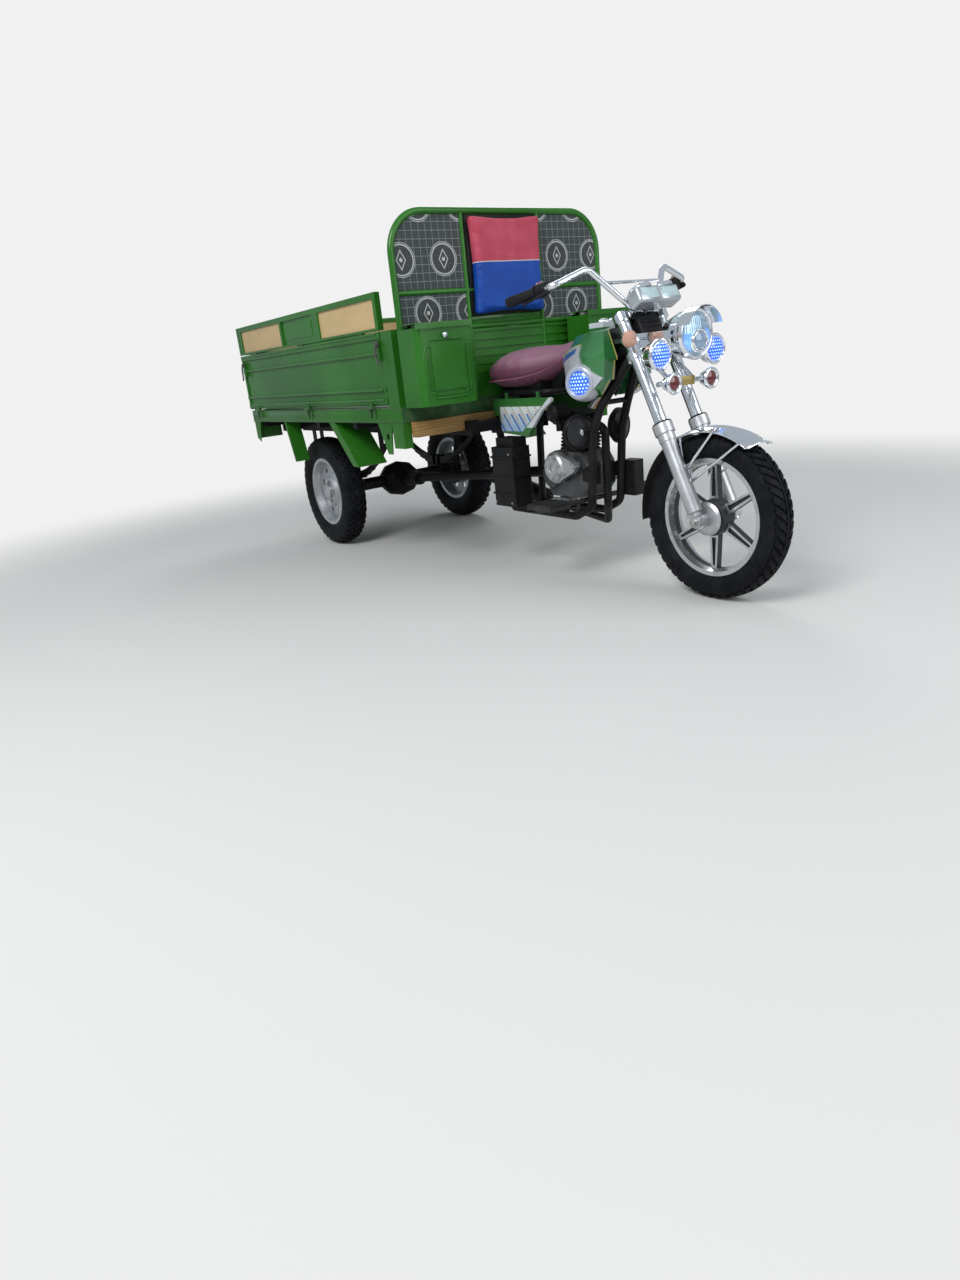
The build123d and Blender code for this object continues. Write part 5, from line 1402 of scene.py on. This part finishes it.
class TRICYCLE_OT_engine_details(bpy.types.Operator):
    """Raised rings and bolts of the covers and boxes, and the filter cap"""
    bl_idname = "tricycle.engine_details"
    bl_label = "Detail the engine"

    def execute(self, context):
        alloy = cast_metal("polished cover alloy", (0.62, 0.64, 0.67), 0.22, 0.0003, 0.9, 0.15)
        zinc = cast_metal("zinc bolts", (0.50, 0.50, 0.48), 0.3, 0.0002, 0.9, 0.3)
        rings = ((0.026, -0.001), (0.027, 0.0025), (0.031, 0.0025), (0.032, -0.001), (0.026, -0.001))
        disc = ((0, 0.004), (0.014, 0.0035), (0.017, 0.0015), (0.0175, -0.001), (0, -0.001))
        cover_x, cover_z = 1622, 460
        caps = []
        for y, direction in ((-136, (0, -1, 0)), (126, (0, 1, 0))):
            place = at(cover_x, y, cover_z)
            caps += [turned(rings, place, direction, 48, 50), turned(disc, place, direction, 32, 40)]
        assemble("cover_rings", caps, "chassis", "silver", alloy)
        places = []
        for i in range(7):
            angle = math.tau * (i + 0.3) / 7
            for radius, y, side in ((44, -136, -1), (38, 126, 1)):
                x, z = cover_x + radius * math.cos(angle), cover_z + radius * math.sin(angle)
                places.append((at(x, y, z), (0, side, 0)))
        for x, z in ((1734, 484), (1746, 464), (1690, 436)):
            places.append((at(x, -128, z), (0, -1, 0)))
        for x, z in ((1300, 520), (1418, 520), (1300, 306), (1418, 306)):
            places.append((at(x, -208, z), (0, -1, 0)))
        for x, z in ((1812, 440), (1856, 440), (1812, 350), (1856, 350)):
            places.append((at(x, 152, z), (0, 1, 0)))
        bolts("engine_bolts", places, 0.0052, 0.006, "chassis", "silver", zinc)
        ribs = ((0, 0.007), (0.016, 0.007), (0.018, 0.005), (0.020, 0.007), (0.024, 0.007), (0.026, 0.005),
                (0.028, 0.007), (0.032, 0.0055), (0.0345, 0.002), (0.035, -0.001), (0, -0.001))
        cap = turned(ribs, at(1655, -142, 684), (0, -1, 0), 48, 30)
        present(cap, "filter_cap", "chassis", "black_plastic", moulded("filter cap moulding"))
        return {"FINISHED"}


# Controls and fork
class TRICYCLE_OT_controls(bpy.types.Operator):
    """The ribbed grips"""
    bl_idname = "tricycle.controls"
    bl_label = "Fit the grips"

    def execute(self, context):
        sleeves = []
        ribs, pitch, crest, groove = 17, 0.0068, 0.0186, 0.0172
        outline = [(0.010, -0.0072), (0.0165, -0.0072), (0.0185, -0.0050)]
        for i in range(ribs):
            start = 0.002 + i * pitch
            outline += [(crest, start), (crest, start + 0.0040), (groove, start + 0.0048),
                        (groove, start + 0.0060)]
        outline += [(crest, 0.1190), (0.0168, 0.1200), (0.010, 0.1200), (0.010, -0.0072)]
        for _, side in SIDES:
            sleeve = lathe(outline, 28, 25)
            sleeve.data.transform(shaft_matrix(*grip_ends(side)))
            sleeves.append(sleeve)
        assemble("grip_sleeves", sleeves, "steering", "rubber",
                 moulded("ribbed grip rubber", (0.014, 0.014, 0.015), 0.66, 500.0))
        return {"FINISHED"}


class TRICYCLE_OT_fork_details(bpy.types.Operator):
    """Fork seals, axle nuts and wheel nuts"""
    bl_idname = "tricycle.fork_details"
    bl_label = "Detail the fork and hubs"

    def execute(self, context):
        along = Vector((-math.sin(RAKE), 0, math.cos(RAKE)))
        seal = ((0.0232, -0.001), (0.0355, -0.001), (0.0360, 0.0030), (0.0330, 0.0065), (0.0270, 0.0085),
                (0.0232, 0.0090), (0.0232, -0.001))
        seals = [turned(seal, on_fork(639, side * 95), along, 40, 40) for _, side in SIDES]
        assemble("fork_seals", seals, "steering", "rubber", moulded("fork seal rubber"))
        zinc = cast_metal("zinc hub nuts", (0.52, 0.52, 0.50), 0.28, 0.0002, 0.9, 0.3)
        ends = [(at(FRONT_AXLE_X, side * 122, FRONT_AXLE_Z), (0, side, 0)) for _, side in SIDES]
        bolts("front_axle_nuts", ends, 0.0125, 0.009, "steering", "silver", zinc)
        for name, side in SIDES:
            places = []
            for i in range(5):
                angle = math.tau * i / 5
                x, z = 55 * math.cos(angle), 300 + 55 * math.sin(angle)
                places.append((at(x, side * 456, z), (0, side, 0)))
            bolts("wheel_nuts_" + name, places, 0.0095, 0.011, "wheel_rear_" + name, "silver", zinc)
        return {"FINISHED"}


class TRICYCLE_OT_wiring_cover(bpy.types.Operator):
    """The ribbed black cover over the wiring between the yokes, and its boot to the headlamp"""
    bl_idname = "tricycle.wiring_cover"
    bl_label = "Cover the wiring"

    def execute(self, context):
        fore = Vector((math.cos(RAKE), 0, math.sin(RAKE)))
        axis = on_fork(945) - fore * 0.060
        lean = Matrix.Translation(axis) @ Matrix.Rotation(-RAKE, 4, "Y")
        parts = [block((0.046, -0.056, -0.0585), (0.096, 0.056, 0.0585), 0.010, 3)]
        for i in range(5):
            rise = -0.040 + i * 0.020
            parts.append(block((0.092, -0.044, rise - 0.004), (0.0995, 0.044, rise + 0.004), 0.0025, 2))
        for obj in parts:
            obj.data.transform(lean)
        cover = joined("wiring_cover", parts)
        start, end = lean @ Vector((0.088, 0, -0.030)), at(2158, 0, 935)
        length = (end - start).length
        outline, folds = [(0, 0), (0.020, 0)], 5
        for i in range(folds):
            step = length * i / folds
            outline += [(0.0215, step + 0.001), (0.0270, step + 0.35 * length / folds),
                        (0.0270, step + 0.60 * length / folds), (0.0215, step + 0.92 * length / folds)]
        outline += [(0.020, length), (0, length)]
        boot = lathe(outline, 32, 35)
        boot.data.transform(shaft_matrix(start, end))
        assemble("wiring_cover", [cover, boot], "steering", "black_plastic", moulded("wiring cover moulding"))
        return {"FINISHED"}


# Cargo box fittings
class TRICYCLE_OT_toolbox_trim(bpy.types.Operator):
    """Embossed beads and lock escutcheons on the toolboxes"""
    bl_idname = "tricycle.toolbox_trim"
    bl_label = "Trim the toolboxes"

    def execute(self, context):
        beads = []
        for inset, notch in ((0, 24), (13, 22)):
            y0, y1, z0, z1 = 346 + inset, 553 - inset, 790 + inset, 1017 - inset
            y2, y3, z2, z3 = y0 + notch, y1 - notch, z0 + notch, z1 - notch
            route = [(y2, z0), (y3, z0), (y3, z2), (y1, z2), (y1, z3), (y3, z3), (y3, z1), (y2, z1), (y2, z3),
                     (y0, z3), (y0, z2), (y2, z2)]
            beads.append(wire([at(1385.5, y, z) for y, z in route], 0.0042 - inset * 0.0001, 3, True, 2))
        bead = with_mirror("toolbox_beads", joined("toolbox_beads", beads))
        present(bead, "toolbox_beads", "chassis", "green_paint", FINISHES["green_paint"]())
        plate = ((0, 0.0045), (0.0055, 0.0045), (0.0100, 0.0030), (0.0125, 0.0000), (0.0125, -0.0015),
                 (0, -0.0015))
        lock = turned(plate, at(1394, 455, 1032), AHEAD, 32, 40)
        slot = block(at(1397.5, 453.8, 1027), at(1399.2, 456.2, 1037), 0.0004)
        lock = with_mirror("toolbox_locks", joined("toolbox_locks", [lock, slot]))
        present(lock, "toolbox_locks", "chassis", "chrome", bright_plate("lock plate", (0.66, 0.70, 0.74)))
        return {"FINISHED"}


class TRICYCLE_OT_pressings(bpy.types.Operator):
    """Rolled beads down the drop sides and the closed skirts along the deck"""
    bl_idname = "tricycle.pressings"
    bl_label = "Press the panels"

    def execute(self, context):
        green = FINISHES["green_paint"]()
        ridges = ((1068, 5.0), (1051, 4.5), (991, 7.5), (841, 7.5), (798, 7.0))
        for name, side in SIDES:
            beads = [bar(at(-604, side * 594.5, z), at(1068, side * 594.5, z), r * MM) for z, r in ridges]
            assemble("gate_beads_" + name, beads, "gate_" + name, "green_paint", green)
        beads = [bar(at(-665.5, -566, z), at(-665.5, 566, z), r * MM) for z, r in ridges]
        assemble("gate_beads_rear", beads, "gate_rear", "green_paint", green)
        skirt = block(at(-654, 587.5, 701), at(1198, 590.6, 761), 0.0008)
        strips = [bar(at(-650, 590.4, z), at(1194, 590.4, z), 0.0028, 10) for z in (706, 757)]
        skirts = with_mirror("deck_skirts", joined("deck_skirts", [skirt, *strips]))
        present(skirts, "deck_skirts", "chassis", "green_paint", green)
        return {"FINISHED"}


class TRICYCLE_OT_guard_lip(bpy.types.Operator):
    """The flared front lip and rolled edges of the front guard"""
    bl_idname = "tricycle.guard_lip"
    bl_label = "Roll the guard's edges"

    def execute(self, context):
        def on_guard(angle, y, lift=0.0):
            """A place on the guard's crowned outside."""
            radius = 324 - 16 * (y / 62) ** 2 + lift
            turn = math.radians(angle)
            return at(FRONT_AXLE_X + radius * math.cos(turn), y, FRONT_AXLE_Z + radius * math.sin(turn))

        across = [-62 + 124 * i / 14 for i in range(15)]
        rows = ((60.0, -0.3), (58.6, 0.3), (57.2, 1.8), (55.9, 4.4), (54.8, 8.2), (54.2, 11.4))
        rings = [[on_guard(angle, y, lift) for y in across]
                 + [on_guard(angle, y, lift - 2.6) for y in reversed(across)] for angle, lift in rows]
        plate = bright_plate("guard plate", PALE_CHROME)
        lip = lofted("guard_lip", rings)
        rolls = [wire([on_guard(54.2, y, 10.2) for y in across], 0.0030, 3)]
        for side in (-1, 1):
            rolls.append(wire([on_guard(angle, side * 61.5, 0.5) for angle in range(56, 117, 4)], 0.0028, 3))
        assemble("guard_lip", [lip, *rolls], "steering", "chrome", plate)
        return {"FINISHED"}


class TRICYCLE_OT_dash(bpy.types.Operator):
    """Dial faces and rings, the pods' glazed fronts and the filler cap"""
    bl_idname = "tricycle.dash"
    bl_label = "Glaze the instruments"

    def execute(self, context):
        lean = Matrix.Translation(at(2098, 0, 1072)) @ Matrix.Rotation(math.radians(-28), 4, "Y")
        upward = (lean.to_3x3() @ Vector((0, 0, 1))).normalized()
        ring = ((0.0355, -0.001), (0.0365, 0.0040), (0.0390, 0.0052), (0.0418, 0.0035), (0.0424, -0.003),
                (0.0355, -0.001))
        disc = ((0, 0.0008), (0.0355, 0.0008), (0.0357, -0.001), (0, -0.001))
        rings = []
        for name, side in SIDES:
            place = lean @ Vector((0, side * 0.054, 0.034))
            rings.append(turned(ring, place, upward, 48, 60))
            face = turned(disc, place, upward, 48, 40)
            present(face, "dial_face_" + name, "steering", "lamp", dial_face(name + " dial", place, upward))
        assemble("dial_rings", rings, "steering", "chrome", bright_plate("dial ring plate", PALE_CHROME))
        frame_block = block((0.0295, 0.005, -0.026), (0.0335, 0.097, 0.026), 0.0018)
        glass_block = block((0.0330, 0.012, -0.020), (0.0350, 0.090, 0.020), 0.0008)
        for obj in (frame_block, glass_block):
            obj.data.transform(lean)
        present(with_mirror("pod_frames", frame_block), "pod_frames", "steering", "chrome",
                cast_metal("pod frame silver", (0.62, 0.66, 0.68), 0.18, 0.0002, 0.85, 0.0))
        present(with_mirror("pod_glass", glass_block), "pod_glass", "steering", "lamp",
                plain_glass("pale pod glass", (0.56, 0.74, 0.78)))
        cap = ((0, 0.0125), (0.016, 0.0125), (0.0185, 0.0110), (0.0200, 0.0080), (0.0240, 0.0060),
               (0.0290, 0.0040), (0.0300, -0.001), (0, -0.001))
        present(turned(cap, at(1830, 0, 1012), (0, 0, 1), 40, 40), "filler_cap", "chassis", "chrome",
                bright_plate("filler cap plate", PALE_CHROME))
        return {"FINISHED"}


class TRICYCLE_OT_switchgear(bpy.types.Operator):
    """Switch housings on the bar with their buttons and screws"""
    bl_idname = "tricycle.switchgear"
    bl_label = "Fit the switches"

    def execute(self, context):
        shell, colours = [], {"red": (0.42, 0.02, 0.02), "grey": (0.20, 0.20, 0.20)}
        knobs = {"red": [], "grey": []}
        button = ((0, 0.0062), (0.0038, 0.0058), (0.0048, 0.0042), (0.0048, -0.004), (0, -0.004))
        pod = ((0.012, 0.0), (0.0225, 0.0), (0.0245, 0.003), (0.0250, 0.016), (0.0236, 0.0185),
               (0.0250, 0.021), (0.0245, 0.035), (0.0225, 0.038), (0.012, 0.038), (0.012, 0.0))
        screw = ((0, 0.0045), (0.0050, 0.0040), (0.0065, 0.0020), (0.0065, -0.004), (0, -0.004))
        rise = Vector((-0.45, 0, 0.89))
        for _, side in SIDES:
            outer, inner = grip_ends(side)
            along = (inner - outer).normalized()
            piece = lathe(pod, 36, 30)
            piece.data.transform(shaft_matrix(outer + along * 0.133, inner))
            shell.append(piece)
            for step, colour in ((0.141, "grey"), (0.152, "red"), (0.163, "grey")):
                knobs[colour].append(turned(button, outer + along * step + rise * 0.0245, rise, 20, 40))
            place = outer + along * 0.150 + Vector((0.024, 0, 0.004))
            knobs["grey"].append(turned(screw, place, (0, 0, 1), 20, 40))
        assemble("switch_pods", shell, "steering", "black_plastic", moulded("switch moulding"))
        for colour, parts in knobs.items():
            assemble(colour + "_switches", parts, "steering", "black_plastic",
                     moulded(colour + " switch plastic", colours[colour], 0.35))
        return {"FINISHED"}


class TRICYCLE_OT_latches(bpy.types.Operator):
    """Hooked latches at the corners of the drop sides"""
    bl_idname = "tricycle.latches"
    bl_label = "Hang the latches"

    def execute(self, context):
        steel = satin_black("latch steel", (0.05, 0.05, 0.05), 0.35, 0.4)
        stud = ((0, 0.012), (0.006, 0.0115), (0.009, 0.009), (0.009, 0.002), (0.013, 0.002), (0.013, -0.001),
                (0, -0.001))
        for name, side in SIDES:
            parts = []
            for x in (-618, 1082):
                lean = 1 if x > 0 else -1
                route = [(x, 604, 1026), (x, 613, 1024), (x + lean * 3, 617, 1000), (x + lean * 2, 617, 968),
                         (x + lean * 12, 616, 950), (x + lean * 14, 616, 940)]
                parts.append(wire([at(px, side * y, z) for px, y, z in route], 0.0042, 3))
                parts.append(turned(stud, at(x, side * 603, 1026), (0, side, 0), 24, 40))
            assemble("latches_" + name, parts, "gate_" + name, "black_paint", steel)
        parts = []
        for y in (-560, 560):
            parts.append(turned(stud, at(-666, y, 1040), (-1, 0, 0), 24, 40))
            route = ((-672, 1040), (-681, 1036), (-683, 1010), (-683, 975), (-680, 962))
            parts.append(wire([at(x, y, z) for x, z in route], 0.0042, 3))
        assemble("latches_rear", parts, "gate_rear", "black_paint", steel)
        return {"FINISHED"}


class TRICYCLE_OT_saddle_welt(bpy.types.Operator):
    """The stitched welt round the saddle"""
    bl_idname = "tricycle.welts"
    bl_label = "Stitch the saddle"

    def execute(self, context):
        route = []
        for side in (-1, 1):
            rings = SADDLE if side < 0 else tuple(reversed(SADDLE))
            for x, half, low, high in rings:
                if half > 15:
                    rise = 0.24 * (high - low)
                    route.append(at(x, side * (half - 3), low + rise))
        welt = wire(route, 0.0032, 2, True)
        present(welt, "saddle_welt", "chassis", "seat_vinyl",
                moulded("welt vinyl", (0.17, 0.06, 0.10), 0.5, 380.0, 0.1))
        return {"FINISHED"}


class TRICYCLE_PT_panel(bpy.types.Panel):
    """Lists the steps in the sidebar"""
    bl_label = "Cargo Motor Tricycle"
    bl_idname = "TRICYCLE_PT_panel"
    bl_space_type = "VIEW_3D"
    bl_region_type = "UI"
    bl_category = "Tricycle"

    def draw(self, context):
        for step in STEPS:
            self.layout.operator(step.bl_idname)


STEPS = (TRICYCLE_OT_stage, TRICYCLE_OT_finishes, TRICYCLE_OT_tyres, TRICYCLE_OT_saddle, TRICYCLE_OT_back_pad,
         TRICYCLE_OT_saddle_welt, TRICYCLE_OT_lamps, TRICYCLE_OT_horns, TRICYCLE_OT_engine_details,
         TRICYCLE_OT_controls, TRICYCLE_OT_switchgear, TRICYCLE_OT_dash, TRICYCLE_OT_fork_details,
         TRICYCLE_OT_guard_lip, TRICYCLE_OT_wiring_cover, TRICYCLE_OT_toolbox_trim, TRICYCLE_OT_pressings,
         TRICYCLE_OT_latches)
CLASSES = (TricycleSizes, StageSettings, *STEPS, TRICYCLE_PT_panel)


def register():
    """Registers the classes and their settings."""
    for cls in CLASSES:
        bpy.utils.register_class(cls)
    bpy.types.Scene.tricycle_sizes = bpy.props.PointerProperty(type=TricycleSizes)
    bpy.types.Scene.tricycle_stage = bpy.props.PointerProperty(type=StageSettings)


def unregister():
    """Takes the settings and classes away again."""
    del bpy.types.Scene.tricycle_stage
    del bpy.types.Scene.tricycle_sizes
    for cls in reversed(CLASSES):
        bpy.utils.unregister_class(cls)


def main():
    """Registers the add-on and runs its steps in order."""
    register()
    for step in STEPS:
        group, name = step.bl_idname.split(".")
        getattr(getattr(bpy.ops, group), name)()


if __name__ == "__main__":
    main()
